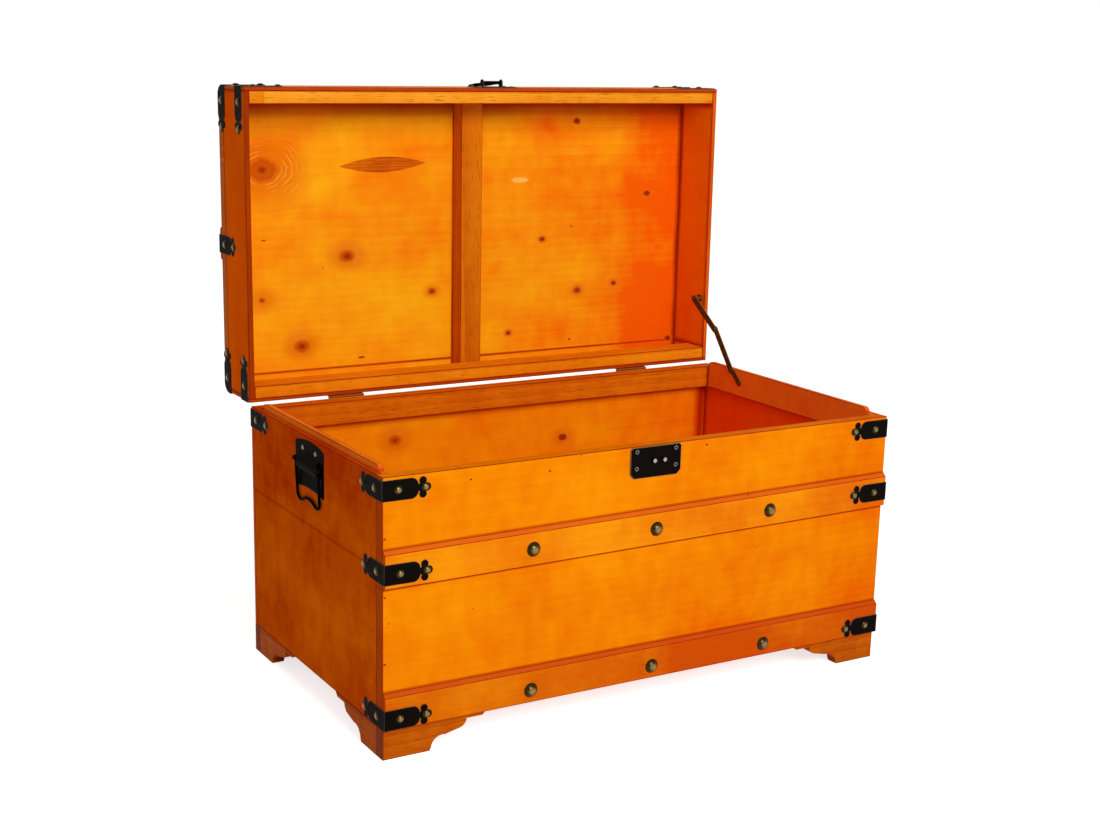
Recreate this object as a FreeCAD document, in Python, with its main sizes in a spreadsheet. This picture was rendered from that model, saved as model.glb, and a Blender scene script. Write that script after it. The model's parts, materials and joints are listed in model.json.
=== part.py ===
"""A wooden sea chest with a hinged lid, a folding stay, a hasp, bail handles and bracket feet.

Millimetres. +X is the chest's right, +Y its back, +Z up. The lid stands open. The origin is on the
floor, in the middle of the whole open chest. Pieces of the lid are drawn as they lie when it is
shut, in a frame whose origin is the middle of the hinge pins' axis, and then turned open.
"""
import FreeCAD
import Part
import math
import os
import re
import Sketcher

doc = FreeCAD.newDocument("sea_chest")

# The driving dimensions: name, value and what it is.
DRIVING = [
    ("width", 800, "outside of one side board to the other"),
    ("depth", 443, "front face to back face"),
    ("height", 368, "floor to the rim of the body"),
    ("front_thick", 18, "front board"),
    ("side_thick", 8, "side boards"),
    ("back_thick", 8, "back board"),
    ("floor_thick", 8, "floor board"),
    ("floor_lift", 6, "underside of the floor board above the boards' lower edge"),
    ("groove_deep", 4, "how far the floor board is let into the boards"),
    ("rail_thick", 18, "rear rail under the rim"),
    ("rail_tall", 34, "rails, from their lower edge to the rim"),
    ("side_rail_thick", 8, "side rails"),
    ("lip_rise", 8.3, "side rails above the rim"),
    ("lip_round", 7.9, "rounding of the lip's ends"),
    ("lip_setback", 28.5, "front face to the start of the lip"),
    ("foot_tall", 40, "bracket feet"),
    ("foot_thick", 18, "board that a bracket is sawn from"),
    ("foot_flat", 66, "corner to the end of the part that stands on the floor"),
    ("foot_heel", 5, "height of the short leaning edge above the floor"),
    ("foot_heel_out", 2, "how far that edge leans out"),
    ("foot_cove", 88, "corner to the top of the hollow"),
    ("foot_cove_high", 18.5, "floor to the top of the hollow"),
    ("foot_cove_round", 16.5, "radius of the hollow"),
    ("foot_swell", 108, "corner to the start of the swelling"),
    ("foot_swell_high", 23, "floor to the start of the swelling"),
    ("foot_swell_round", 13, "radius of the swelling"),
    ("foot_step", 119, "corner to the step above the swelling"),
    ("foot_tongue", 147, "corner to the tip of the tongue"),
    ("foot_step_tall", 1, "short upright step above the swelling"),
    ("foot_tongue_thick", 5.5, "tongue"),
    ("foot_tongue_bevel", 5, "slope at the tip of the tongue"),
    ("foot_tongue_tip", 0.5, "upright edge left at the tip"),
    ("band_tall", 48.5, "wooden bands across the front"),
    ("band_proud", 6, "bands in front of the front board"),
    ("band_bevel", 5, "bevel along a band's top edge"),
    ("middle_band_down", 92.5, "rim to the middle band's upper edge, at the left"),
    ("middle_band_rise", 9, "how much higher its right end is"),
    ("bottom_band_lift", 1, "bottom band's lower edge above the boards' lower edge"),
    ("stud_radius", 10, "domed stud"),
    ("stud_tall", 6, "domed stud"),
    ("stud_spacing", 190, "from stud to stud along a band"),
    ("middle_stud_drop", 3, "studs below the middle band's middle line"),
    ("bottom_stud_drop", 7.25, "studs below the bottom band's middle line"),
    ("strap_tall", 26.5, "corner strap"),
    ("strap_thick", 1, "corner strap"),
    ("strap_reach", 65.5, "corner to the tip of a strap's arm"),
    ("strap_body", 48.5, "corner to the end of the arm's broad part"),
    ("strap_round", 10, "rounding at the end of the broad part"),
    ("strap_neck", 8, "width of the neck before the trefoil"),
    ("lobe_radius", 5, "side lobes of the trefoil"),
    ("lobe_start", 50.5, "corner to the near end of the side lobes"),
    ("lobe_start_wide", 11, "width across at that place"),
    ("lobe_end", 58, "corner to the far end of the side lobes"),
    ("lobe_end_wide", 10, "width across at that place"),
    ("nail_radius", 5.5, "domed nail"),
    ("nail_tall", 2.5, "domed nail"),
    ("nail_near", 21.3, "corner to the nail in the broad part"),
    ("nail_far", 58.2, "corner to the nail in the trefoil"),
    ("strap_top_down", 17.5, "rim to the middle of the top straps"),
    ("strap_left_drop", 5.75, "middle strap below the band's middle line, at the left"),
    ("strap_right_drop", 2.25, "middle strap below the band's middle line, at the right"),
    ("strap_bottom_drop", 10.25, "bottom straps below the bottom band's middle line"),
    ("strap_rear_down", 16.5, "rim to the middle of the rear straps"),
    ("lock_wide", 80, "lock plate"),
    ("lock_left", 2.4, "its middle to the left of the chest's middle"),
    ("lock_tall", 42, "lock plate"),
    ("lock_down", 1.5, "rim to the lock plate's upper edge"),
    ("lock_thick", 2, "lock plate"),
    ("lock_corner", 6, "cut of its lower corners"),
    ("lock_top_corner", 2.5, "cut of its upper corners"),
    ("post_radius", 2.75, "posts of the lock plate"),
    ("post_reach", 8, "front face to the tip of a post"),
    ("post_spacing", 16, "between the posts"),
    ("post_down", 20, "rim to the posts"),
    ("rivet_radius", 2.7, "hollow rivets"),
    ("rivet_hole", 1.9, "their hollow's radius"),
    ("rivet_tall", 1, "hollow rivets"),
    ("lock_rivets_wide", 62, "between the lock plate's rivets, along it"),
    ("lock_rivets_tall", 23, "between them, up it"),
    ("lock_rivets_rise", 4.2, "their middle above the plate's middle"),
    ("hinge_gap", 3.2, "back face to the hinge pins' axis"),
    ("rim_gap", 0.6, "between the rims when the lid is shut"),
    ("open_angle", 90.3, "how far the lid opens, in degrees"),
    ("hinge_inset", 149, "side of the chest to the middle of a hinge"),
    ("leaf_wide", 55, "hinge leaf, along the pin"),
    ("leaf_tall", 22, "hinge pin to the far edge of a hinge leaf"),
    ("leaf_thick", 1.5, "hinge leaf"),
    ("knuckle_radius", 2.8, "hinge knuckle"),
    ("knuckle_gap", 0.4, "between neighbouring knuckles"),
    ("hinge_pin_radius", 1.5, "hinge pin"),
    ("running_gap", 0.05, "between a turning pin and its hole, on the radius"),
    ("side_gap", 0.5, "between a turning piece and what stands beside it"),
    ("lid_tall", 103, "lid, rim to the top of its panel"),
    ("panel_thick", 18, "lid panel"),
    ("panel_round", 17.5, "rounding of the panel's long edges"),
    ("lid_board_thick", 5, "long boards of the lid"),
    ("lid_end_thick", 7.5, "end boards of the lid"),
    ("lid_rail_thick", 18, "rails inside the lid's long boards"),
    ("lid_rail_tall", 44, "rails inside the lid's long boards"),
    ("batten_wide", 36, "batten across the inside of the panel"),
    ("batten_thick", 27, "batten"),
    ("batten_left", 14, "batten's middle to the left of the lid's middle"),
    ("lid_band_wide", 48, "band along the top of the lid"),
    ("lid_band_proud", 7, "band above the panel"),
    ("lid_band_bevel", 4, "bevel of that band's long edges"),
    ("lid_band_back", 217, "back of the lid to that band's middle line"),
    ("rim_strap_high", 21, "rim of the lid to the middle of its lower straps"),
    ("top_strap_high", 89.5, "rim of the lid to the middle of its upper straps"),
    ("hasp_wide", 65, "hasp's base plate"),
    ("hasp_tall", 36, "hasp's base plate"),
    ("hasp_low", 5, "rim of the lid to the base plate's lower edge"),
    ("hasp_thick", 1.5, "hasp's base plate"),
    ("hasp_pin_high", 24, "rim of the lid to the hasp's pin"),
    ("hasp_pin_out", 7.2, "front of the lid to the hasp's pin"),
    ("hasp_pin_radius", 1.6, "hasp's pin"),
    ("ear_wide", 1.9, "ears that hold the hasp's pin"),
    ("ear_gap", 29.8, "between the ears"),
    ("ear_long", 10, "ears, up the lid"),
    ("tongue_thick", 1.5, "hasp's tongue"),
    ("tongue_barrel", 2.6, "radius of the tongue's barrel"),
    ("tongue_neck", 10, "pin to the place where the tongue begins to widen"),
    ("tongue_flare", 6, "length over which it widens"),
    ("tongue_rest_gap", 0.1, "lid to the end of the folded tongue"),
    ("hasp_rivets_wide", 54, "between the hasp's rivets, along its plate"),
    ("hasp_rivets_tall", 24, "between them, up its plate"),
    ("tongue_wide", 36, "tongue"),
    ("tongue_long", 54, "pin to the tongue's end"),
    ("tongue_hole_gap", 0.8, "round the posts in the tongue's holes"),
    ("handle_back", 5, "middle of the handles behind the middle of the sides"),
    ("axle_down", 35, "rim to the handle's axle"),
    ("axle_out", 5, "side face to the handle's axle"),
    ("axle_radius", 1.4, "handle's axle"),
    ("plate_half", 47, "handle plate, half its width"),
    ("plate_thick", 1.2, "handle plate"),
    ("plate_up", 24, "axle to the handle plate's upper corners"),
    ("plate_down", 38, "axle to the handle plate's lower corners"),
    ("plate_crown", 6, "rise of its arched top"),
    ("plate_hollow", 4, "rise of its hollow lower edge"),
    ("housing_gap", 1.5, "end of the axle housing to a bail arm"),
    ("housing_up", 9.5, "axle to the housing's upper edge"),
    ("housing_down", 15, "axle to the housing's lower edge"),
    ("housing_wall", 0.8, "metal of the housing in front of the axle"),
    ("bail_half", 37.5, "middle of the handle to a bail arm"),
    ("bail_radius", 2, "bail rod"),
    ("bail_drop", 45, "axle to the centre of the bail's lobes"),
    ("bail_lobe", 10, "radius of the bail's lobes"),
    ("bail_crest", 48, "axle to the raised middle of the bail"),
    ("eye_thick", 4.8, "eye"),
    ("eye_gap", 0.5, "plate to the eye at the top of a bail arm"),
    ("knob_gap", 0.2, "plate to the knobs on the axle's ends"),
    ("knob_tall", 4.5, "knobs"),
    ("bail_rest_gap", 0.1, "plate to the hanging bail"),
    ("handle_nail_up", 17.7, "axle to the handle plate's nails"),
    ("handle_nail_half", 21.5, "middle of the handle to its nails"),
    ("handle_nail_radius", 3.5, "handle plate's nails"),
    ("handle_nail_tall", 1.6, "handle plate's nails"),
    ("stay_back", 91.5, "back face to the stay's pivot on the body"),
    ("stay_rise", 5.5, "rim to the stay's pivot on the body"),
    ("stay_lid_back", 103.5, "back of the lid to the stay's pivot on the lid"),
    ("stay_lid_high", 11.2, "rim of the lid to that pivot"),
    ("stay_split", 74.9, "body pivot to the elbow, along the line between the pivots"),
    ("stay_sag", 10.7, "elbow off that line"),
    ("link_wide", 11, "stay links"),
    ("link_thick", 1.6, "stay links"),
    ("link_gap", 0.4, "between neighbouring layers of the stay"),
    ("bracket_thick", 1.5, "stay's bracket on the body"),
    ("bracket_wide", 9.5, "stay's bracket on the body"),
    ("bracket_drop", 18, "body pivot to the middle of the bracket's lower end, downwards"),
    ("bracket_ahead", 20, "the same, forwards"),
    ("stay_pin_radius", 2, "pins of the stay"),
    ("stay_head_radius", 3.3, "heads of those pins"),
    ("stay_head_thick", 1.4, "heads of those pins"),
    ("boss_radius", 2.8, "boss of the stay's bracket on the lid"),
    ("boss_plate_wide", 10, "its plate, along the lid"),
    ("boss_plate_tall", 11, "its plate, up the lid"),
    ("boss_plate_thick", 1.5, "its plate"),
]

# What follows from them: name and formula.
WORKED = [
    ("half", "width / 2"),
    ("lid_top", "rim_gap / 2 + lid_tall"),
    ("back_reach", "hinge_gap + (lid_top + lid_band_proud + stud_tall) * sin(open_angle)"
                   " - (hinge_gap + lid_band_back) * cos(open_angle)"),
    ("front_y", "(band_proud + stud_tall - depth - back_reach) / 2"),
    ("back_y", "front_y + depth"),
    ("hinge_y", "back_y + hinge_gap"),
    ("hinge_z", "height + rim_gap / 2"),
    ("inside", "half - side_thick"),
    ("floor_z", "foot_tall + floor_lift"),
    ("rail_low", "height - rail_tall"),
    ("middle_band_low", "height - middle_band_down - band_tall"),
    ("bottom_band_low", "foot_tall + bottom_band_lift"),
    ("bottom_stud_high", "bottom_band_low + band_tall / 2 - bottom_stud_drop"),
    ("strap_top_high", "height - strap_top_down"),
    ("strap_left_high", "middle_band_low + band_tall / 2 - strap_left_drop"),
    ("strap_right_high", "middle_band_low + middle_band_rise + band_tall / 2 - strap_right_drop"),
    ("strap_bottom_high", "bottom_band_low + band_tall / 2 - strap_bottom_drop"),
    ("strap_rear_high", "height - strap_rear_down"),
    ("lock_low", "height - lock_down - lock_tall"),
    ("post_high", "height - post_down"),
    ("axle_high", "height - axle_down"),
    ("hinge_x", "half - hinge_inset"),
    ("rail_y", "back_y - back_thick - rail_thick"),
    ("rim", "rim_gap / 2"),
    ("panel_low", "lid_top - panel_thick"),
    ("lid_back", "-hinge_gap"),
    ("lid_front", "-(hinge_gap + depth)"),
    ("lid_inside", "half - lid_end_thick"),
    ("lid_band_y", "-(hinge_gap + lid_band_back)"),
    ("strap_half", "strap_tall / 2"),
    ("tip_radius", "((lobe_end_wide / 2) ^ 2 + (strap_reach - lobe_end) ^ 2)"
                   " / (2 * (strap_reach - lobe_end))"),
    ("top_nail_tilt", "asin(max(0; top_strap_high + panel_round - lid_tall)"
                      " / (panel_round + strap_thick))"),
    ("top_nail_y", "panel_round - (panel_round + strap_thick) * cos(top_nail_tilt)"),
    ("leaf_half", "leaf_wide / 2"),
    ("knuckle", "leaf_wide / 3"),
    ("lock_mid_z", "lock_low + lock_tall / 2"),
    ("hasp_y", "lid_front - hasp_pin_out"),
    ("hasp_z", "rim + hasp_pin_high"),
    ("post_drop", "hinge_z + hasp_z - post_high"),
    ("tongue_tilt", "asin((hasp_pin_out - tongue_thick / 2 - tongue_rest_gap) / tongue_long)"),
    ("handle_y", "front_y + depth / 2 + handle_back"),
    ("crown_radius", "(plate_half ^ 2 + plate_crown ^ 2) / (2 * plate_crown)"),
    ("hollow_radius", "(plate_half ^ 2 + plate_hollow ^ 2) / (2 * plate_hollow)"),
    ("eye_radius", "axle_out - plate_thick - eye_gap"),
    ("knob_radius", "axle_out - plate_thick - knob_gap"),
    ("axle_long", "2 * (bail_half + side_gap) + eye_thick"),
    ("bail_lean", "atan2(axle_out - plate_thick - bail_radius - bail_rest_gap; plate_down)"),
    ("housing_half", "bail_half - eye_thick / 2 - housing_gap"),
    ("housing_bulge", "axle_out - plate_thick + axle_radius + housing_wall"),
    ("housing_half_tall", "(housing_up + housing_down) / 2"),
    ("housing_radius", "(housing_half_tall ^ 2 + housing_bulge ^ 2) / (2 * housing_bulge)"),
    ("lobe_y", "bail_half - bail_lobe"),
    ("crest_rise", "bail_crest - bail_drop"),
    ("crest_radius", "(lobe_y ^ 2 + crest_rise ^ 2 - bail_lobe ^ 2) / (2 * (bail_lobe - crest_rise))"),
    ("crest_centre", "bail_crest + crest_radius"),
    ("bail_join_y", "lobe_y * crest_radius / (crest_radius + bail_lobe)"),
    ("bail_join_z", "-bail_drop - (crest_centre - bail_drop) * bail_lobe / (crest_radius + bail_lobe)"),
    ("rail_face", "inside - side_rail_thick"),
    ("lower_link_x", "rail_face - bracket_thick - link_gap - link_thick"),
    ("upper_link_x", "lower_link_x - link_gap - link_thick"),
    ("stay_pin_out", "link_gap + link_thick + side_gap + stay_head_thick"),
    ("bracket_long", "sqrt(bracket_ahead ^ 2 + bracket_drop ^ 2)"),
    ("bracket_slope", "atan2(-bracket_drop; -bracket_ahead)"),
    ("stay_y", "back_y - stay_back"),
    ("stay_z", "height + stay_rise"),
    ("stay_lid_y", "-(hinge_gap + stay_lid_back)"),
    ("stay_lid_z", "rim + stay_lid_high"),
    ("lid_pin_y", "hinge_y + stay_lid_y * cos(open_angle) + stay_lid_z * sin(open_angle)"),
    ("lid_pin_z", "hinge_z - stay_lid_y * sin(open_angle) + stay_lid_z * cos(open_angle)"),
    ("stay_span", "sqrt((lid_pin_y - stay_y) ^ 2 + (lid_pin_z - stay_z) ^ 2)"),
    ("stay_slope", "atan2(lid_pin_z - stay_z; lid_pin_y - stay_y)"),
    ("elbow_lift", "atan2(stay_sag; stay_split)"),
    ("elbow_fall", "atan2(stay_sag; stay_span - stay_split)"),
    ("lower_long", "sqrt(stay_split ^ 2 + stay_sag ^ 2)"),
    ("upper_long", "sqrt((stay_span - stay_split) ^ 2 + stay_sag ^ 2)"),
]

size = doc.addObject("Spreadsheet::Sheet", "size")
for row, (name, value, meaning) in enumerate(DRIVING, 1):
    size.set("A%d" % row, meaning)
    size.set("B%d" % row, str(value))
    size.setAlias("B%d" % row, name)

worked = doc.addObject("Spreadsheet::Sheet", "worked")
SHEET_OF = {name: "size" for name, value, meaning in DRIVING}
SHEET_OF.update({name: "worked" for name, formula in WORKED})


def named(text, home=""):
    """Write the sheet's name before each dimension's name in a formula."""

    def full(match):
        sheet = SHEET_OF.get(match.group())
        return match.group() if sheet in (None, home) else sheet + "." + match.group()

    return re.sub(r"[a-z_]+", full, text)


for row, (name, formula) in enumerate(WORKED, 1):
    worked.set("B%d" % row, "=" + named(formula, "worked"))
    worked.setAlias("B%d" % row, name)
doc.recompute()


def number(text):
    """The present value of a formula, as a plain number."""
    value = size.evalExpression(named(text))
    return float(getattr(value, "Value", value))


def bind(thing, **formulas):
    """Tie properties of an object to formulas."""
    for name, text in formulas.items():
        thing.setExpression(name, named(text))


def put(thing, x="0", y="0", z="0", yaw="0", pitch="0", roll="0"):
    """Tie an object's place and turn, in degrees about Z, Y and X, to formulas."""
    spot = "create(<<vector>>; %s; %s; %s)" % (x, y, z)
    turn = "create(<<rotation>>; %s; %s; %s)" % (yaw, pitch, roll)
    thing.setExpression("Placement", named("create(<<placement>>; %s; %s)" % (spot, turn)))


def put_on_lid(thing):
    """Give a piece drawn in the shut lid's frame its place on the open lid."""
    put(thing, "0", "hinge_y", "hinge_z", roll="-open_angle")


nodes = []


def node(thing, name):
    """Count an object as a piece of the chest, under its own name."""
    thing.Label = name
    nodes.append(thing)
    return thing


def plane(body, role):
    """One of a body's own origin planes."""
    return next(item for item in body.Origin.OriginFeatures if item.Role == role)


def line_or_arc(start, finish, bend):
    """Sketch geometry from one point to the next, and whether it runs backwards."""
    first = FreeCAD.Vector(start[0], start[1], 0)
    last = FreeCAD.Vector(finish[0], finish[1], 0)
    if not bend:
        return Part.LineSegment(first, last), False
    radius = number(bend[0])
    chord = last - first
    off = math.sqrt(max(radius ** 2 - (chord.Length / 2) ** 2, 0))
    leftward = FreeCAD.Vector(-chord.y, chord.x, 0).normalize()
    is_left = "left" in bend[1]
    is_long = "long" in bend[1]
    centre = (first + last) / 2 + leftward * (off if is_left != is_long else -off)
    begin, end = (first, last) if is_left else (last, first)
    circle = Part.Circle(centre, FreeCAD.Vector(0, 0, 1), radius)
    begin_at = math.atan2(begin.y - centre.y, begin.x - centre.x)
    end_at = math.atan2(end.y - centre.y, end.x - centre.x)
    if end_at <= begin_at:
        end_at += 2 * math.pi
    return Part.ArcOfCircle(circle, begin_at, end_at), not is_left


def sketch(body, name, role, path, offset="0", closed=True):
    """A sketch on an origin plane whose corners are tied to formulas.

    Each corner is (x, y), or (x, y, radius, side) where the edge after it is an arc whose centre
    is to its left or right, with "long" where it is more than half a circle and "half" where it is
    just that.
    """
    drawing = body.newObject("Sketcher::SketchObject", name)
    drawing.AttachmentSupport = [(plane(body, role), "")]
    drawing.MapMode = "FlatFace"
    if offset != "0":
        drawing.setExpression("AttachmentOffset.Base.z", named(offset))
    corners = [(number(corner[0]), number(corner[1])) for corner in path]
    count = len(path) if closed else len(path) - 1
    ends = []
    for index in range(count):
        bend = path[index][2:]
        geometry, backwards = line_or_arc(corners[index], corners[(index + 1) % len(path)], bend)
        drawing.addGeometry(geometry, False)
        ends.append((2, 1) if backwards else (1, 2))
        if bend and "half" in bend[1]:
            drawing.addConstraint(Sketcher.Constraint("Symmetric", index, 1, index, 2, index, 3))
        elif bend:
            tie = drawing.addConstraint(Sketcher.Constraint("Radius", index, number(bend[0])))
            drawing.setExpression("Constraints[%d]" % tie, named(bend[0]))
    for index in range(count if closed else count - 1):
        after = (index + 1) % count
        joint = Sketcher.Constraint("Coincident", index, ends[index][1], after, ends[after][0])
        drawing.addConstraint(joint)
    for index in range(len(path)):
        edge, end = (index, ends[index][0]) if index < count else (count - 1, ends[-1][1])
        for axis, place in (("DistanceX", 0), ("DistanceY", 1)):
            value = corners[index][place]
            tie = drawing.addConstraint(Sketcher.Constraint(axis, -1, 1, edge, end, value))
            drawing.setExpression("Constraints[%d]" % tie, named(path[index][place]))
    return drawing


def round_sketch(body, name, role, x, y, radius, offset="0"):
    """A sketch of one circle."""
    drawing = body.newObject("Sketcher::SketchObject", name)
    drawing.AttachmentSupport = [(plane(body, role), "")]
    drawing.MapMode = "FlatFace"
    if offset != "0":
        drawing.setExpression("AttachmentOffset.Base.z", named(offset))
    centre = FreeCAD.Vector(number(x), number(y), 0)
    drawing.addGeometry(Part.Circle(centre, FreeCAD.Vector(0, 0, 1), number(radius)), False)
    for kind, text in (("DistanceX", x), ("DistanceY", y)):
        tie = drawing.addConstraint(Sketcher.Constraint(kind, -1, 1, 0, 3, number(text)))
        drawing.setExpression("Constraints[%d]" % tie, named(text))
    tie = drawing.addConstraint(Sketcher.Constraint("Radius", 0, number(radius)))
    drawing.setExpression("Constraints[%d]" % tie, named(radius))
    return drawing


def new_body(name):
    """An empty body."""
    return doc.addObject("PartDesign::Body", name)


def pad(body, drawing, length):
    """Add material from a sketch towards +X, +Y or +Z. The XZ plane's sketches face -Y."""
    feature = body.newObject("PartDesign::Pad", drawing.Name + "_pad")
    feature.Profile = drawing
    feature.Reversed = drawing.AttachmentSupport[0][0].Role == "XZ_Plane"
    bind(feature, Length=length)
    return feature


def pocket(body, drawing, length, towards_plus):
    """Take material away from a sketch's plane, and make sure that some went."""
    doc.recompute()
    before = body.Shape.Volume
    feature = body.newObject("PartDesign::Pocket", drawing.Name + "_pocket")
    feature.Profile = drawing
    faces_minus = drawing.AttachmentSupport[0][0].Role == "XZ_Plane"
    feature.Reversed = towards_plus != faces_minus
    bind(feature, Length=length)
    doc.recompute()
    if body.Shape.Volume >= before:
        raise RuntimeError(drawing.Name + " cuts nothing")
    return feature


def start_of(role, text):
    """A sketch plane's offset for a place along +X, +Y or +Z."""
    return "-(%s)" % text if role == "XZ_Plane" else text


def slab(name, role, start, thick, path):
    """A body of one outline with straight walls, from start along its plane's axis."""
    body = new_body(name)
    drawing = sketch(body, name + "_outline", role, path, start_of(role, start))
    pad(body, drawing, thick)
    return body


def box(name, x, y, z):
    """A board between two places along each axis."""
    path = [(x[0], y[0]), (x[1], y[0]), (x[1], y[1]), (x[0], y[1])]
    return slab(name, "XY_Plane", z[0], "%s - (%s)" % (z[1], z[0]), path)


def rod(name, radius, length):
    """A cylinder along Z."""
    cylinder = doc.addObject("Part::Cylinder", name)
    bind(cylinder, Radius=radius, Height=length)
    return cylinder


def copies(name, spots):
    """One object made of copies, each a thing with its place and turn."""
    group = doc.addObject("Part::Compound", name)
    links = []
    for thing, *spot in spots:
        link = doc.addObject("App::Link", name + "_copy")
        link.LinkedObject = thing
        put(link, *spot)
        links.append(link)
    group.Links = links
    return group


def fused(name, things):
    """Several solids made one."""
    whole = doc.addObject("Part::MultiFuse", name)
    whole.Shapes = things
    whole.Refine = True
    return whole


def cut(name, base, tool):
    """One solid less another."""
    rest = doc.addObject("Part::Cut", name)
    rest.Base = base
    rest.Tool = tool
    return rest


def mirrored(name, source):
    """The same piece for the other hand, its +X turned to -X."""
    other = doc.addObject("Part::Mirroring", name)
    other.Source = source
    other.Normal = FreeCAD.Vector(1, 0, 0)
    return other


# Carcass. The thick front board covers the side boards' ends, and so does the back board behind.
ACROSS = ("-half", "half")
UP = ("foot_tall", "height")
front_board = node(box("front_board", ACROSS, ("front_y", "front_y + front_thick"), UP), "front_board")
back_board = node(box("back_board", ACROSS, ("back_y - back_thick", "back_y"), UP), "back_board")
SIDE_ALONG = ("front_y + front_thick", "back_y - back_thick")
left_board = node(box("left_board", ("-half", "-inside"), SIDE_ALONG, UP), "left_board")
right_board = node(box("right_board", ("inside", "half"), SIDE_ALONG, UP), "right_board")

# The floor board stands in a groove that runs round the inside of the four boards.
FLOOR_UP = ("floor_z", "floor_z + floor_thick")
floor_along = ("front_y + front_thick - groove_deep", "back_y - back_thick + groove_deep")
floor_across = ("-inside - groove_deep", "inside + groove_deep")
floor_board = node(box("floor_board", floor_across, floor_along, FLOOR_UP), "floor_board")


def groove(body, x, y):
    """Cut the floor board's groove in a board."""
    path = [(x[0], y[0]), (x[1], y[0]), (x[1], y[1]), (x[0], y[1])]
    drawing = sketch(body, body.Name + "_groove", "XY_Plane", path, FLOOR_UP[0])
    pocket(body, drawing, "floor_thick", True)


groove(front_board, floor_across, (floor_along[0], "front_y + front_thick"))
groove(back_board, floor_across, ("back_y - back_thick", floor_along[1]))
groove(left_board, ("-inside - groove_deep", "-inside"), SIDE_ALONG)
groove(right_board, ("inside", "inside + groove_deep"), SIDE_ALONG)

# Rails inside the rim. The side rails stand proud of it, so that the shut lid can't slide.
rail_up = ("rail_low", "height")
back_rail = node(box("back_rail", ("-inside", "inside"), ("rail_y", "back_y - back_thick"), rail_up),
                 "back_rail")
RAIL_OUTLINE = [
    ("front_y + front_thick", "rail_low"),
    ("rail_y", "rail_low"),
    ("rail_y", "height + lip_rise - lip_round", "lip_round", "left"),
    ("rail_y - lip_round", "height + lip_rise"),
    ("front_y + lip_setback + lip_round", "height + lip_rise", "lip_round", "left"),
    ("front_y + lip_setback", "height + lip_rise - lip_round"),
    ("front_y + lip_setback", "height"),
    ("front_y + front_thick", "height"),
]
node(slab("left_rail", "YZ_Plane", "-inside", "side_rail_thick", RAIL_OUTLINE), "left_rail")
node(slab("right_rail", "YZ_Plane", "rail_face", "side_rail_thick", RAIL_OUTLINE), "right_rail")


# Bands across the front, with a bevel along the top edge. The middle one climbs to the right.
def band(name, low, rise):
    """A band whose two ends may lie at different heights."""
    body = new_body(name)
    low_right = "%s + %s" % (low, rise)
    path = [("-half", low), ("half", low_right), ("half", low_right + " + band_tall"),
            ("-half", low + " + band_tall")]
    drawing = sketch(body, name + "_outline", "XZ_Plane", path, "-(front_y - band_proud)")
    wood = pad(body, drawing, "band_proud")
    doc.recompute()
    bevel = body.newObject("PartDesign::Chamfer", name + "_bevel")
    front = number("front_y - band_proud")
    middle = number("%s / 2 + %s + band_tall" % (rise, low))
    edges = ["Edge%d" % index for index, edge in enumerate(wood.Shape.Edges, 1)
             if (edge.CenterOfMass - FreeCAD.Vector(0, front, middle)).Length < 0.001]
    bevel.Base = (wood, edges)
    bind(bevel, Size="band_bevel")
    return node(body, name)


band("middle_band", "middle_band_low", "middle_band_rise")
band("bottom_band", "bottom_band_low", "0")

# Feet: at each corner two brackets sawn to an ogee. The front and back ones cover the side ones.
OGEE = [
    ("foot_flat", "0"),
    ("foot_flat + foot_heel_out", "foot_heel", "foot_cove_round", "right"),
    ("foot_cove", "foot_cove_high"),
    ("foot_swell", "foot_swell_high", "foot_swell_round", "left"),
    ("foot_step", "foot_tall - foot_tongue_thick - foot_step_tall"),
    ("foot_step", "foot_tall - foot_tongue_thick"),
    ("foot_tongue - foot_tongue_bevel", "foot_tall - foot_tongue_thick"),
    ("foot_tongue", "foot_tall - foot_tongue_tip"),
    ("foot_tongue", "foot_tall"),
]
cover_bracket = slab("cover_bracket", "XZ_Plane", "0", "foot_thick",
                     [("0", "0")] + OGEE + [("0", "foot_tall")])
side_bracket = slab("side_bracket", "XZ_Plane", "0", "foot_thick",
                    [("foot_thick", "0")] + OGEE + [("foot_thick", "foot_tall")])
# The front left bracket runs right from its corner. The side brackets run along the chest, and
# a mirrored one serves the corners that a turn alone doesn't reach.
mirrored_cover = mirrored("mirrored_cover", cover_bracket)
mirrored_side = mirrored("mirrored_side", side_bracket)
BRACKETS = [
    ("front_left_front_bracket", cover_bracket, "-half", "front_y", "0"),
    ("front_right_front_bracket", mirrored_cover, "half", "front_y", "0"),
    ("rear_left_back_bracket", mirrored_cover, "-half", "back_y", "180"),
    ("rear_right_back_bracket", cover_bracket, "half", "back_y", "180"),
    ("front_left_side_bracket", mirrored_side, "-half", "front_y", "-90"),
    ("front_right_side_bracket", side_bracket, "half", "front_y", "90"),
    ("rear_left_side_bracket", side_bracket, "-half", "back_y", "-90"),
    ("rear_right_side_bracket", mirrored_side, "half", "back_y", "90"),
]
for name, kind, x, y, yaw in BRACKETS:
    node(copies(name, [(kind, x, y, "0", yaw)]), name)

# Domed nails and studs: the head only, with its flat face on what it holds.
def dome(name, radius, tall):
    """A low round head, flat below, with its axis along Z."""
    body = new_body(name)
    round_radius = "((%s) ^ 2 + (%s) ^ 2) / (2 * (%s))" % (radius, tall, tall)
    path = [("0", "0"), (radius, "0", round_radius, "left"), ("0", tall)]
    drawing = sketch(body, name + "_section", "XZ_Plane", path)
    turned = body.newObject("PartDesign::Revolution", name + "_turned")
    turned.Profile = drawing
    turned.ReferenceAxis = (drawing, ["V_Axis"])
    turned.Angle = 360
    return body


nail = dome("nail", "nail_radius", "nail_tall")
stud = dome("stud", "stud_radius", "stud_tall")
handle_nail = dome("handle_nail", "handle_nail_radius", "handle_nail_tall")

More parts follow.
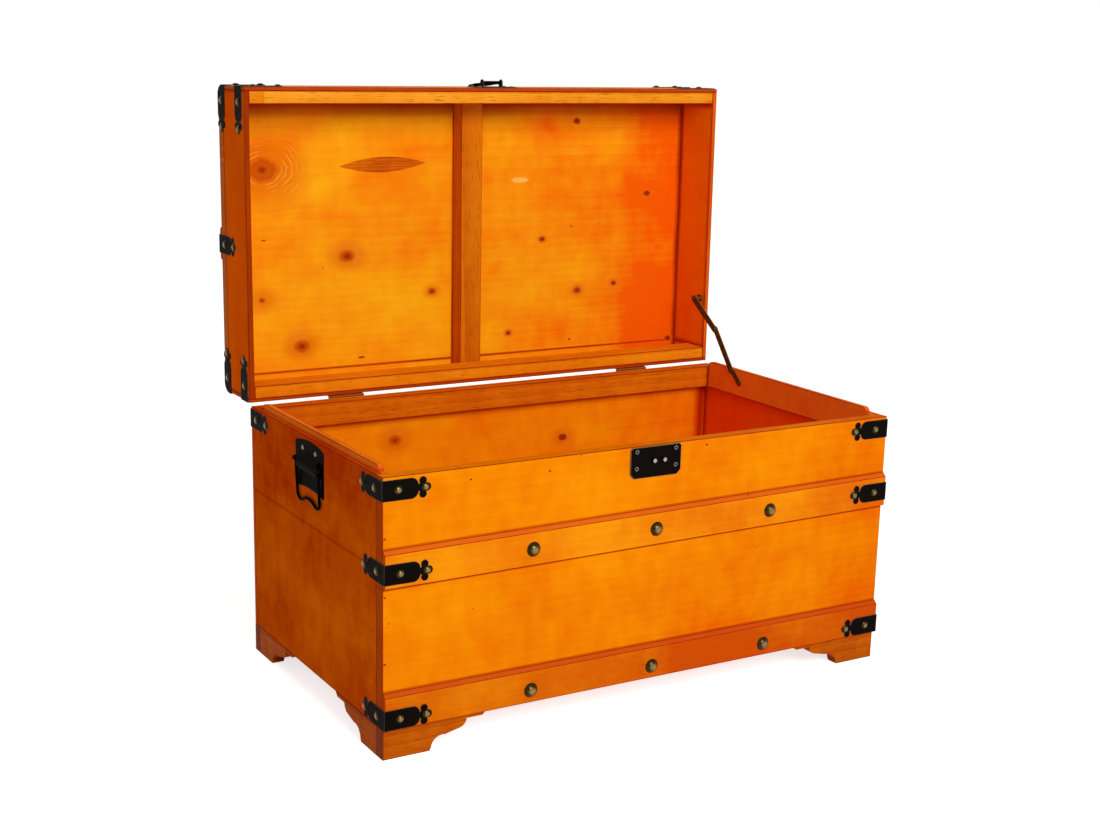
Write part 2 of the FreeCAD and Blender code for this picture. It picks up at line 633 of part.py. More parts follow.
# Corner straps: an L of thin plate. Each arm has a broad part, a neck and a trefoil.
ARM_LOWER = [
    ("strap_body - strap_round", "-strap_half", "strap_round", "left"),
    ("strap_body", "-strap_neck / 2"),
    ("lobe_start", "-lobe_start_wide / 2", "lobe_radius", "left long"),
    ("lobe_end", "-lobe_end_wide / 2", "tip_radius", "left long"),
]
ARM_UPPER = [
    ("lobe_end", "lobe_end_wide / 2", "lobe_radius", "left long"),
    ("lobe_start", "lobe_start_wide / 2"),
    ("strap_body", "strap_neck / 2", "strap_round", "left"),
    ("strap_body - strap_round", "strap_half"),
]
ARM = [("-strap_thick", "-strap_half")] + ARM_LOWER + ARM_UPPER + [("-strap_thick", "strap_half")]


def strap_body(name, thick):
    """A corner strap: one arm along +X in front of the corner, one along +Y beside it."""
    body = new_body(name)
    front_arm = sketch(body, name + "_front_arm", "XZ_Plane", ARM, "strap_thick")
    pad(body, front_arm, thick)
    side_arm = sketch(body, name + "_side_arm", "YZ_Plane", ARM, "-strap_thick")
    pad(body, side_arm, thick)
    return body


strap = strap_body("strap", "strap_thick")
strap_nails = copies("strap_nails", [
    (nail, "nail_near", "-strap_thick", "0", "0", "0", "90"),
    (nail, "nail_far", "-strap_thick", "0", "0", "0", "90"),
    (nail, "-strap_thick", "nail_near", "0", "0", "-90", "0"),
    (nail, "-strap_thick", "nail_far", "0", "0", "-90", "0"),
])
FRONT_LEFT_STRAPS = [
    ("-half", "front_y", "strap_top_high"),
    ("-half", "front_y - band_proud", "strap_left_high"),
    ("-half", "front_y - band_proud", "strap_bottom_high"),
]
FRONT_RIGHT_STRAPS = [
    ("half", "front_y", "strap_top_high", "90"),
    ("half", "front_y - band_proud", "strap_right_high", "90"),
    ("half", "front_y - band_proud", "strap_bottom_high", "90"),
]
REAR_STRAPS = [
    ("-half", "back_y", "strap_rear_high", "-90"),
    ("half", "back_y", "strap_rear_high", "180"),
]
for name, spots in (("front_left_straps", FRONT_LEFT_STRAPS), ("front_right_straps", FRONT_RIGHT_STRAPS),
                    ("rear_straps", REAR_STRAPS)):
    node(copies(name, [(strap, *spot) for spot in spots]), name)
all_body_straps = FRONT_LEFT_STRAPS + FRONT_RIGHT_STRAPS + REAR_STRAPS
node(copies("body_strap_nails", [(strap_nails, *spot) for spot in all_body_straps]), "body_strap_nails")

# Studs along the two front bands.
stud_spots = []
for step in (-1, 0, 1):
    stud_x = "%d * stud_spacing" % step
    middle_z = ("middle_band_low + band_tall / 2 - middle_stud_drop"
                " + middle_band_rise * (0.5 + %d * stud_spacing / width)" % step)
    stud_spots.append((stud, stud_x, "front_y - band_proud", middle_z, "0", "0", "90"))
    stud_spots.append((stud, stud_x, "front_y - band_proud", "bottom_stud_high", "0", "0", "90"))
node(copies("band_studs", stud_spots), "band_studs")

# Lock plate with two posts that the hasp's tongue drops over, and a hollow rivet at each corner.
lock_left_end = "-lock_left - lock_wide / 2"
lock_right_end = "lock_wide / 2 - lock_left"
lock_outline = [
    (lock_left_end + " + lock_corner", "lock_low"),
    (lock_right_end + " - lock_corner", "lock_low"),
    (lock_right_end, "lock_low + lock_corner"),
    (lock_right_end, "lock_low + lock_tall - lock_top_corner"),
    (lock_right_end + " - lock_top_corner", "lock_low + lock_tall"),
    (lock_left_end + " + lock_top_corner", "lock_low + lock_tall"),
    (lock_left_end, "lock_low + lock_tall - lock_top_corner"),
    (lock_left_end, "lock_low + lock_corner"),
]
node(slab("lock_plate", "XZ_Plane", "front_y - lock_thick", "lock_thick", lock_outline), "lock_plate")
post = rod("post", "post_radius", "post_reach - lock_thick")
node(copies("lock_posts", [
    (post, "-post_spacing / 2", "front_y - lock_thick", "post_high", "0", "0", "90"),
    (post, "post_spacing / 2", "front_y - lock_thick", "post_high", "0", "0", "90"),
]), "lock_posts")
rivet = cut("rivet", rod("rivet_rim", "rivet_radius", "rivet_tall"),
            rod("rivet_hollow", "rivet_hole", "rivet_tall"))
RIVET_CORNERS = [(side, level) for side in ("-", "") for level in ("-", "")]
node(copies("lock_rivets", [
    (rivet, side + "lock_rivets_wide / 2 - lock_left", "front_y - lock_thick",
     "lock_mid_z + lock_rivets_rise + (%slock_rivets_tall / 2)" % level, "0", "0", "90")
    for side, level in RIVET_CORNERS
]), "lock_rivets")


# Lid, in the shut lid's frame: two long boards, two end boards, rails along the rim and a panel.
def lid_node(thing, name):
    """Count an object as a piece of the lid and turn it open."""
    put_on_lid(thing)
    return node(thing, name)


WALL_UP = ("rim", "panel_low")
lid_front_board = lid_node(box("lid_front_board", ACROSS, ("lid_front", "lid_front + lid_board_thick"),
                               WALL_UP), "lid_front_board")
lid_back_board = lid_node(box("lid_back_board", ACROSS, ("lid_back - lid_board_thick", "lid_back"),
                              WALL_UP), "lid_back_board")
lid_along = ("lid_front + lid_board_thick", "lid_back - lid_board_thick")
lid_node(box("lid_left_end", ("-half", "-lid_inside"), lid_along, WALL_UP), "lid_left_end")
lid_node(box("lid_right_end", ("lid_inside", "half"), lid_along, WALL_UP), "lid_right_end")
lid_rail_up = ("rim", "rim + lid_rail_tall")
lid_between = ("-lid_inside", "lid_inside")
lid_node(box("lid_front_rail", lid_between, (lid_along[0], lid_along[0] + " + lid_rail_thick"),
             lid_rail_up), "lid_front_rail")
lid_back_rail = lid_node(box("lid_back_rail", lid_between,
                             (lid_along[1] + " - lid_rail_thick", lid_along[1]), lid_rail_up),
                         "lid_back_rail")
lid_node(box("lid_batten", ("-batten_left - batten_wide / 2", "-batten_left + batten_wide / 2"),
             lid_along, ("panel_low - batten_thick", "panel_low")), "lid_batten")
PANEL_SECTION = [
    ("lid_front", "panel_low"),
    ("lid_back", "panel_low"),
    ("lid_back", "lid_top - panel_round", "panel_round", "left"),
    ("lid_back - panel_round", "lid_top"),
    ("lid_front + panel_round", "lid_top", "panel_round", "left"),
    ("lid_front", "lid_top - panel_round"),
]
lid_node(slab("lid_panel", "YZ_Plane", "-half", "width", PANEL_SECTION), "lid_panel")
BAND_SECTION = [
    ("lid_band_y - lid_band_wide / 2", "lid_top"),
    ("lid_band_y + lid_band_wide / 2", "lid_top"),
    ("lid_band_y + lid_band_wide / 2", "lid_top + lid_band_proud - lid_band_bevel"),
    ("lid_band_y + lid_band_wide / 2 - lid_band_bevel", "lid_top + lid_band_proud"),
    ("lid_band_y - lid_band_wide / 2 + lid_band_bevel", "lid_top + lid_band_proud"),
    ("lid_band_y - lid_band_wide / 2", "lid_top + lid_band_proud - lid_band_bevel"),
]
lid_node(slab("lid_band", "YZ_Plane", "-half", "width", BAND_SECTION), "lid_band")
lid_node(copies("lid_band_studs", [
    (stud, "%d * stud_spacing" % step, "lid_band_y", "lid_top + lid_band_proud") for step in (-1, 0, 1)
]), "lid_band_studs")

# Straps of the lid: one low and one high on each corner, and one over each end of its band.
LID_CORNERS = [("-half", "lid_front", "0"), ("half", "lid_front", "90"),
               ("-half", "lid_back", "-90"), ("half", "lid_back", "180")]
RIM_STRAPS = [(x, y, "rim + rim_strap_high", yaw) for x, y, yaw in LID_CORNERS]
BAND_STRAPS = [
    ("-half", "lid_band_y", "lid_top + lid_band_proud", "0", "0", "-90"),
    ("half", "lid_band_y", "lid_top + lid_band_proud", "180", "0", "-90"),
]
lid_node(copies("lid_rim_straps", [(strap, *spot) for spot in RIM_STRAPS]), "lid_rim_straps")
lid_node(copies("lid_band_straps", [(strap, *spot) for spot in BAND_STRAPS]), "lid_band_straps")

# The upper straps follow the rounding of the lid's long edges: an L deep enough to reach it, less
# the lid's own section and less what stands more than the strap's thickness outside it.
deep_strap = new_body("deep_strap")
deep_front = sketch(deep_strap, "deep_front_arm", "XZ_Plane", ARM, "strap_thick")
pad(deep_strap, deep_front, "strap_thick + panel_round")
deep_side = sketch(deep_strap, "deep_side_arm", "YZ_Plane", ARM, "-strap_thick")
pad(deep_strap, deep_side, "strap_thick")


def rounded_end(name, start, out):
    """The lid's section behind a corner at the origin, grown outwards, level with the strap."""
    top = "lid_tall - top_strap_high + %s" % out
    path = [
        ("-(%s)" % out, "-strap_tall"),
        ("strap_reach * 2", "-strap_tall"),
        ("strap_reach * 2", top),
        ("panel_round", top, "panel_round + %s" % out, "left"),
        ("-(%s)" % out, "lid_tall - top_strap_high - panel_round"),
    ]
    return slab(name, "YZ_Plane", start, "strap_reach * 2", path)


strap_core = rounded_end("strap_core", "0", "0")
strap_shell = rounded_end("strap_shell", "-strap_thick", "strap_thick")
shell_part = doc.addObject("Part::Common", "shell_part")
shell_part.Base = deep_strap
shell_part.Tool = strap_shell
front_top_strap = cut("front_top_strap", shell_part, strap_core)
mirrored_strap = mirrored("mirrored_strap", front_top_strap)
top_strap_nails = copies("top_strap_nails", [
    (nail, "nail_near", "top_nail_y", "0", "0", "0", "90 deg - top_nail_tilt"),
    (nail, "nail_far", "top_nail_y", "0", "0", "0", "90 deg - top_nail_tilt"),
    (nail, "-strap_thick", "nail_near", "0", "0", "-90", "0"),
    (nail, "-strap_thick", "nail_far", "0", "0", "-90", "0"),
])
mirrored_nails = mirrored("mirrored_nails", top_strap_nails)
TOP_CORNERS = [
    (front_top_strap, top_strap_nails, "-half", "lid_front", "0"),
    (mirrored_strap, mirrored_nails, "half", "lid_front", "0"),
    (mirrored_strap, mirrored_nails, "-half", "lid_back", "180"),
    (front_top_strap, top_strap_nails, "half", "lid_back", "180"),
]
top_strap_z = "rim + top_strap_high"
lid_node(copies("lid_top_straps", [
    (kind, x, y, top_strap_z, yaw) for kind, nails, x, y, yaw in TOP_CORNERS
]), "lid_top_straps")
lid_nail_groups = [(strap_nails, *spot) for spot in RIM_STRAPS + BAND_STRAPS]
lid_nail_groups += [(nails, x, y, top_strap_z, yaw) for kind, nails, x, y, yaw in TOP_CORNERS]
lid_node(copies("lid_strap_nails", lid_nail_groups), "lid_strap_nails")


# Butt hinges: the leaves are screwed on the backs of the body and the lid. Drawn about the pin.
def leaf(name, side, knuckles):
    """A hinge leaf above ("") or below ("-") its pin. Its knuckles are given by their ends."""
    body = new_body(name)
    near = side + "(knuckle_radius + knuckle_gap)"
    inner, outer = "-hinge_gap", "leaf_thick - hinge_gap"
    plate = [(inner, near), (outer, near), (outer, side + "leaf_tall"), (inner, side + "leaf_tall")]
    pad(body, sketch(body, name + "_plate", "YZ_Plane", plate, "-leaf_half"), "leaf_wide")
    for index, (begin, end) in enumerate(knuckles):
        long = "%s - (%s)" % (end, begin)
        tab = [(inner, "0"), (outer, "0"), (outer, near), (inner, near)]
        pad(body, sketch(body, "%s_tab_%d" % (name, index), "YZ_Plane", tab, begin), long)
        pad(body, round_sketch(body, "%s_knuckle_%d" % (name, index), "YZ_Plane", "0", "0",
                               "knuckle_radius", begin), long)
    bore = "hinge_pin_radius" if side else "hinge_pin_radius + running_gap"
    hole = round_sketch(body, name + "_bore", "YZ_Plane", "0", "0", bore, "-leaf_half")
    pocket(body, hole, "leaf_wide", True)
    return body


OUTER_KNUCKLES = [("-leaf_half", "-knuckle / 2 - knuckle_gap"), ("knuckle / 2 + knuckle_gap", "leaf_half")]
body_leaf = leaf("body_leaf", "-", OUTER_KNUCKLES)
lid_leaf = leaf("lid_leaf", "", [("-knuckle / 2", "knuckle / 2")])
hinge_pin = rod("hinge_pin", "hinge_pin_radius", "leaf_wide")
HINGES = (("left", "-hinge_x"), ("right", "hinge_x"))
for side, x in HINGES:
    name = side + "_hinge_body_leaf"
    node(copies(name, [(body_leaf, x, "hinge_y", "hinge_z")]), name)
    name = side + "_hinge_lid_leaf"
    lid_node(copies(name, [(lid_leaf, x)]), name)
node(copies("hinge_pins", [(hinge_pin, x + " - leaf_half", "hinge_y", "hinge_z", "0", "90")
                           for side, x in HINGES]), "hinge_pins")

# Hasp: a base plate with two ears, a pin through them and a tongue that swings on it.
hasp_plate = slab("hasp_base", "XZ_Plane", "lid_front - hasp_thick", "hasp_thick", [
    ("-hasp_wide / 2", "rim + hasp_low"),
    ("hasp_wide / 2", "rim + hasp_low"),
    ("hasp_wide / 2", "rim + hasp_low + hasp_tall"),
    ("-hasp_wide / 2", "rim + hasp_low + hasp_tall"),
])
EAR = [
    ("lid_front - hasp_thick", "hasp_z + ear_long / 2"),
    ("hasp_y", "hasp_z + ear_long / 2", "ear_long / 2", "left half"),
    ("hasp_y", "hasp_z - ear_long / 2"),
    ("lid_front - hasp_thick", "hasp_z - ear_long / 2"),
]
for name, start in (("left_ear", "-ear_gap / 2 - ear_wide"), ("right_ear", "ear_gap / 2")):
    pad(hasp_plate, sketch(hasp_plate, name, "YZ_Plane", EAR, start), "ear_wide")
hasp_hole = round_sketch(hasp_plate, "ear_holes", "YZ_Plane", "hasp_y", "hasp_z", "hasp_pin_radius",
                         "-hasp_wide / 2")
pocket(hasp_plate, hasp_hole, "hasp_wide", True)
lid_node(hasp_plate, "hasp_plate")
hasp_pin = rod("pin", "hasp_pin_radius", "ear_gap + 2 * ear_wide")
lid_node(copies("hasp_pin", [(hasp_pin, "-ear_gap / 2 - ear_wide", "hasp_y", "hasp_z", "0", "90")]),
         "hasp_pin")
lid_node(copies("hasp_rivets", [
    (rivet, side + "hasp_rivets_wide / 2", "lid_front - hasp_thick",
     "rim + hasp_low + hasp_tall / 2 + (%shasp_rivets_tall / 2)" % level, "0", "0", "90")
    for side, level in RIVET_CORNERS
]), "hasp_rivets")

# The tongue lies folded back, with its end on the lid. Its two holes drop over the lock's posts.
BARREL_HALF = "ear_gap / 2 - side_gap"
tongue = new_body("tongue")
tongue_outline = [
    ("-(%s)" % BARREL_HALF, "0"),
    (BARREL_HALF, "0"),
    (BARREL_HALF, "tongue_neck"),
    ("tongue_wide / 2", "tongue_neck + tongue_flare"),
    ("tongue_wide / 2", "tongue_long - tongue_wide / 2", "tongue_wide / 2", "left half"),
    ("-tongue_wide / 2", "tongue_long - tongue_wide / 2"),
    ("-tongue_wide / 2", "tongue_neck + tongue_flare"),
    ("-(%s)" % BARREL_HALF, "tongue_neck"),
]
pad(tongue, sketch(tongue, "tongue_outline", "XZ_Plane", tongue_outline, "tongue_thick / 2"),
    "tongue_thick")
pad(tongue, round_sketch(tongue, "barrel", "YZ_Plane", "0", "0", "tongue_barrel",
                         "-(%s)" % BARREL_HALF), "ear_gap - 2 * side_gap")
barrel_bore = round_sketch(tongue, "barrel_bore", "YZ_Plane", "0", "0", "hasp_pin_radius + running_gap",
                           "-(%s)" % BARREL_HALF)
pocket(tongue, barrel_bore, "ear_gap - 2 * side_gap", True)
for side in ("-", ""):
    hole = round_sketch(tongue, "post_hole", "XZ_Plane", side + "post_spacing / 2", "post_drop",
                        "post_radius + tongue_hole_gap", "tongue_thick / 2")
    pocket(tongue, hole, "tongue_thick", True)
lid_node(copies("hasp_tongue", [(tongue, "0", "hasp_y", "hasp_z", "0", "0", "-tongue_tilt")]),
         "hasp_tongue")


# Handles, drawn about the middle of the axle with the side's face at x = -axle_out, facing +X.
handle_plate = slab("handle_plate", "YZ_Plane", "-axle_out", "plate_thick", [
    ("-plate_half", "-plate_down", "hollow_radius", "right"),
    ("plate_half", "-plate_down"),
    ("plate_half", "plate_up", "crown_radius", "left"),
    ("-plate_half", "plate_up"),
])
plate_front = "plate_thick - axle_out"
housing = [(plate_front, "housing_up"), (plate_front, "-housing_down", "housing_radius", "left")]
pad(handle_plate, sketch(handle_plate, "housing", "XZ_Plane", housing, "housing_half"),
    "2 * housing_half")
axle_hole = round_sketch(handle_plate, "axle_hole", "XZ_Plane", "0", "0", "axle_radius",
                         "housing_half")
pocket(handle_plate, axle_hole, "2 * housing_half", True)

# The axle, along Z, with a round knob on each end.
knob = dome("knob", "knob_radius", "knob_tall")
knobs = copies("knobs", [(knob, "0", "0", "axle_long"), (knob, "0", "0", "0", "0", "180")])
handle_axle = fused("axle", [rod("axle_rod", "axle_radius", "axle_long"), knobs])

# The bail: a round rod bent to a moustache, with an eye on each end that turns on the axle.
bail_body = new_body("bail_rod")
bail_path = [
    ("-bail_half", "0"),
    ("-bail_half", "-bail_drop", "bail_lobe", "left"),
    ("-bail_join_y", "bail_join_z", "crest_radius", "right"),
    ("bail_join_y", "bail_join_z", "bail_lobe", "left"),
    ("bail_half", "-bail_drop"),
    ("bail_half", "0"),
]
bail_line = sketch(bail_body, "bail_line", "YZ_Plane", bail_path, closed=False)
bail_section = round_sketch(bail_body, "bail_section", "XY_Plane", "0", "-bail_half", "bail_radius")
bent = bail_body.newObject("PartDesign::AdditivePipe", "bent_rod")
bent.Profile = bail_section
bent.Spine = (bail_line, [])
bail_eye = rod("eye", "eye_radius", "eye_thick")
bail_eyes = [copies("bail_eye", [(bail_eye, "0", side + "bail_half - eye_thick / 2", "0", "0", "0", "-90")])
             for side in ("-", "")]
bail_bore = rod("bail_bore", "axle_radius + running_gap", "4 * bail_half")
put(bail_bore, "0", "-2 * bail_half", "0", roll="-90")
bail = cut("bail", fused("bail_with_eyes", [bail_body] + bail_eyes), bail_bore)
HANDLES = (("left", "-half - axle_out", "180"), ("right", "half + axle_out", "0"))
for side, x, yaw in HANDLES:
    spot = (x, "handle_y", "axle_high", yaw)
    node(copies(side + "_handle_plate", [(handle_plate, *spot)]), side + "_handle_plate")
    node(copies(side + "_bail", [(bail, *spot, "bail_lean")]), side + "_bail")
node(copies("handle_axles", [
    (handle_axle, x, "handle_y - axle_long / 2", "axle_high", "0", "0", "-90")
    for side, x, yaw in HANDLES
]), "handle_axles")
handle_nail_spots = []
for x, pitch in (("-half - plate_thick", "-90"), ("half + plate_thick", "90")):
    for side in ("-", "+"):
        handle_nail_spots.append((handle_nail, x, "handle_y %s handle_nail_half" % side,
                                  "axle_high + handle_nail_up", "0", pitch))
node(copies("handle_nails", handle_nail_spots), "handle_nails")


# Stay on the right: two flat links side by side that fold at an elbow. Drawn from pivot to elbow.
def strip(name, long, wide, thick):
    """A flat bar along +Y with round ends, from one end's centre to the other's."""
    half_wide = wide + " / 2"
    return slab(name, "YZ_Plane", "0", thick, [
        ("0", "-" + half_wide), (long, "-" + half_wide, half_wide, "left half"),
        (long, half_wide), ("0", half_wide, half_wide, "left half"),
    ])


def link_body(name, long, head_inward):
    """A link with a hole at its pivot and a rivet head at the elbow."""
    body = strip(name, long, "link_wide", "link_thick")
    hole = round_sketch(body, name + "_hole", "YZ_Plane", "0", "0", "stay_pin_radius + running_gap")
    pocket(body, hole, "link_thick", True)
    start = "-stay_head_thick" if head_inward else "link_thick"
    pad(body, round_sketch(body, name + "_rivet", "YZ_Plane", long, "0", "stay_head_radius", start),
        "stay_head_thick")
    return body


lower_link = link_body("lower_link", "lower_long", False)
upper_link = link_body("upper_link", "upper_long", True)
node(copies("stay_lower_link", [
    (lower_link, "lower_link_x", "stay_y", "stay_z", "0", "0", "stay_slope + elbow_lift")
]), "stay_lower_link")
node(copies("stay_upper_link", [
    (upper_link, "upper_link_x", "lid_pin_y", "lid_pin_z", "0", "0", "stay_slope + 180 deg - elbow_fall")
]), "stay_upper_link")

# Its bracket slants down and forward over the right side rail, and carries the lower link's pin.
stay_bracket = strip("stay_bracket", "bracket_long", "bracket_wide", "bracket_thick")
for name, radius, thick in (("stay_pin", "stay_pin_radius", "stay_pin_out"),
                            ("stay_pin_head", "stay_head_radius", "stay_head_thick")):
    circle = round_sketch(stay_bracket, name, "YZ_Plane", "0", "0", radius, "-stay_pin_out")
    pad(stay_bracket, circle, thick)
node(copies("stay_body_bracket", [
    (stay_bracket, "rail_face - bracket_thick", "stay_y", "stay_z", "0", "0", "bracket_slope")
]), "stay_body_bracket")

# Its bracket on the lid's right end: a plate, a boss that reaches in over the rail, and a pin.
boss_low = "stay_lid_z - boss_radius"
boss_plate = [
    ("stay_lid_y - boss_plate_wide / 2", boss_low),
    ("stay_lid_y + boss_plate_wide / 2", boss_low),
    ("stay_lid_y + boss_plate_wide / 2", boss_low + " + boss_plate_tall"),
    ("stay_lid_y - boss_plate_wide / 2", boss_low + " + boss_plate_tall"),
]
lid_bracket = slab("lid_bracket", "YZ_Plane", "lid_inside - boss_plate_thick", "boss_plate_thick",
                   boss_plate)
boss_start = "upper_link_x + link_thick + side_gap"
lid_pin_start = "upper_link_x - side_gap - stay_head_thick"
for name, radius, start, end in (
        ("boss", "boss_radius", boss_start, "lid_inside"),
        ("lid_pin", "stay_pin_radius", lid_pin_start, "lid_inside"),
        ("lid_pin_head", "stay_head_radius", lid_pin_start, lid_pin_start + " + stay_head_thick")):
    circle = round_sketch(lid_bracket, name, "YZ_Plane", "stay_lid_y", "stay_lid_z", radius, start)
    pad(lid_bracket, circle, "%s - (%s)" % (end, start))
lid_node(lid_bracket, "stay_lid_bracket")

doc.recompute()
for thing in doc.Objects:
    if "Invalid" in thing.State or "Error" in thing.State:
        raise RuntimeError("%s: %s" % (thing.Label, thing.State))
for thing in nodes:
    if thing.Shape.isNull() or not thing.Shape.isValid() or not thing.Shape.Solids:
        raise RuntimeError(thing.Label + " has no valid shape")

os.makedirs("parts", exist_ok=True)
for thing in nodes:
    thing.Shape.exportStep("parts/%s.step" % thing.Label)
print(len(nodes), "pieces")
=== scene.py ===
import json
import math

import bpy
from mathutils import Matrix, Vector

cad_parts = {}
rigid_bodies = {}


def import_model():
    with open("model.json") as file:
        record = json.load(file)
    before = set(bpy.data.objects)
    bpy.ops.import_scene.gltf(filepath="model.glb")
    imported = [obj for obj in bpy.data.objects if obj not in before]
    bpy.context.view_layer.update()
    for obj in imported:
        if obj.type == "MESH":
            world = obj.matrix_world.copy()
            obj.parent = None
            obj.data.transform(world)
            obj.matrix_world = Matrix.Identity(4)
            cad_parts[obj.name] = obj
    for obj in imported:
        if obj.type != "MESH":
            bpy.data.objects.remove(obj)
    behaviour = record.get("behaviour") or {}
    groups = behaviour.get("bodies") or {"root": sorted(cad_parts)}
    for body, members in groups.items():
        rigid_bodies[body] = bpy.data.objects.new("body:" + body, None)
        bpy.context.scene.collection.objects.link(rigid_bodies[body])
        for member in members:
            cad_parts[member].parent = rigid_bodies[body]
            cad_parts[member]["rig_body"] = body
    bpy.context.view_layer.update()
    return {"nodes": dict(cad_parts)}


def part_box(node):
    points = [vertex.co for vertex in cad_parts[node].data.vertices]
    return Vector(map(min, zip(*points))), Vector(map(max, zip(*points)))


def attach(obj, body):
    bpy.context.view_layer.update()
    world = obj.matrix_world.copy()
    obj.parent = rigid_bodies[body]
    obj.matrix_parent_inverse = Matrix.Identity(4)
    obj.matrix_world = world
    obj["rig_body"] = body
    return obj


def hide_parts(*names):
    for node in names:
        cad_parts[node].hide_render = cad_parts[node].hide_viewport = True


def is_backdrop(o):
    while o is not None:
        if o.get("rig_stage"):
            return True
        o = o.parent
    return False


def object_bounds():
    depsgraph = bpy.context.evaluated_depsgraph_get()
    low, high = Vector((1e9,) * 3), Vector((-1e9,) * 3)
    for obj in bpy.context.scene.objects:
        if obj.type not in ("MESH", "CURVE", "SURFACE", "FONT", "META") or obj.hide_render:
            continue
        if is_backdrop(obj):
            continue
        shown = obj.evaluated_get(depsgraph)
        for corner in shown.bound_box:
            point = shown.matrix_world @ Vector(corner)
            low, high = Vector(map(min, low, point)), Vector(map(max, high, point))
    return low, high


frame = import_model()
nodes = frame["nodes"]

# The room: a pale floor that keeps the chest's shadow, white all round, and one soft lamp in front,
# which shines into the open lid and leaves the left side in shade.
scene = bpy.context.scene
scene.view_settings.view_transform = "Standard"
mm = 0.001


def linear(colour):
    """An sRGB hex colour as the linear one that nodes take."""
    parts = [int(colour[i:i + 2], 16) / 255 for i in (1, 3, 5)]
    return [c / 12.92 if c <= 0.04045 else ((c + 0.055) / 1.055) ** 2.4 for c in parts] + [1]


def add(tree, kind, settings=None, inputs=None):
    """Add a node with its settings and its inputs, each a value, a socket or the node to link."""
    made = tree.nodes.new("ShaderNode" + kind)
    for name, value in (settings or {}).items():
        setattr(made, name, value)
    for key, value in (inputs or {}).items():
        if isinstance(key, int):
            socket = made.inputs[key]
        else:
            socket = next(s for s in made.inputs if s.name == key and s.enabled)
        if isinstance(value, bpy.types.Node):
            value = next(s for s in value.outputs if s.enabled)
        if isinstance(value, bpy.types.NodeSocket):
            tree.links.new(value, socket)
        else:
            socket.default_value = value
    return made


def new_material(name):
    """An empty material, and its node tree."""
    material = bpy.data.materials.new(name)
    material.use_nodes = True
    material.node_tree.nodes.clear()
    return material, material.node_tree


def seen_directly(tree):
    """1 for rays from the camera and for what metal and glass show, 0 for light."""
    path = add(tree, "LightPath")
    mirrored = add(tree, "Math", {"operation": "MAXIMUM"},
                   {0: path.outputs["Is Camera Ray"], 1: path.outputs["Is Glossy Ray"]})
    return add(tree, "Math", {"operation": "MAXIMUM"},
               {0: mirrored, 1: path.outputs["Is Transmission Ray"]})


sky_light = 0.4
world = bpy.data.worlds.new("white_room")
scene.world = world
world.use_nodes = True
world.node_tree.nodes.clear()
level = add(world.node_tree, "MapRange", None,
            {"Value": seen_directly(world.node_tree), "To Min": sky_light, "To Max": 1})
sky = add(world.node_tree, "Background", None, {"Color": linear("#FFFFFF"), "Strength": level})
add(world.node_tree, "OutputWorld", None, {"Surface": sky})

# matt white paper: pale enough to vanish into the background, except in the chest's shadow. Its
# fibres are drawn in clouds 25 mm wide.
paper_glow = 0.72
paper, tree = new_material("matt_white_paper")
fibres = add(tree, "TexNoise", None, {"Scale": 1 / (25 * mm), "Detail": 4})
tone = add(tree, "Mix", {"data_type": "RGBA"},
           {"Factor": fibres, "A": linear("#EDEDED"), "B": linear("#F5F5F5")})
matt = add(tree, "BsdfDiffuse", None, {"Color": tone})
glow = add(tree, "Emission", None, {"Color": linear("#FFFFFF"), "Strength": paper_glow})
brighter = add(tree, "AddShader", None, {0: matt, 1: glow})
seen = add(tree, "MixShader", None, {0: seen_directly(tree), 1: matt, 2: brighter})
add(tree, "OutputMaterial", None, {"Surface": seen})

floor_side = 30
bpy.ops.object.select_all(action="DESELECT")
bpy.ops.mesh.primitive_plane_add(size=floor_side)
floor = bpy.context.object
floor.name = "paper_floor"
floor.data.materials.append(paper)
floor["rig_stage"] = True

lamp_aim = Vector((0, 0, 0.4))
lamp_data = bpy.data.lights.new("soft_lamp", "AREA")
lamp_data.size = 1.8
lamp_data.energy = 124
lamp = bpy.data.objects.new("soft_lamp", lamp_data)
scene.collection.objects.link(lamp)
lamp.location = (-0.1, -4.0, 2.5)
lamp.rotation_euler = (lamp_aim - lamp.location).to_track_quat("-Z", "Y").to_euler()

camera_place = Vector((-1.2158, -2.0329, 0.8844))
view_yaw, view_pitch, view_roll = math.radians(-30.43), math.radians(-13.43), math.radians(1.23)
camera_data = bpy.data.cameras.new("camera")
camera_data.lens = 54.19
camera_data.shift_x = 0.0109
camera_data.shift_y = 0.0219
camera = bpy.data.objects.new("camera", camera_data)
scene.collection.objects.link(camera)
scene.camera = camera
turn = (Matrix.Rotation(view_yaw, 4, "Z") @ Matrix.Rotation(math.pi / 2 + view_pitch, 4, "X")
        @ Matrix.Rotation(view_roll, 4, "Z"))
camera.matrix_world = Matrix.Translation(camera_place) @ turn

# The front board is one thick pine board, nailed to the ends of the side boards. It was stained a
# bright orange and given a thin satin varnish. The stain sinks deepest into end grain and sanded
# edges, which are dark red, and the bevels are a paler pinkish red, a painted highlight.
AXES = "xyz"


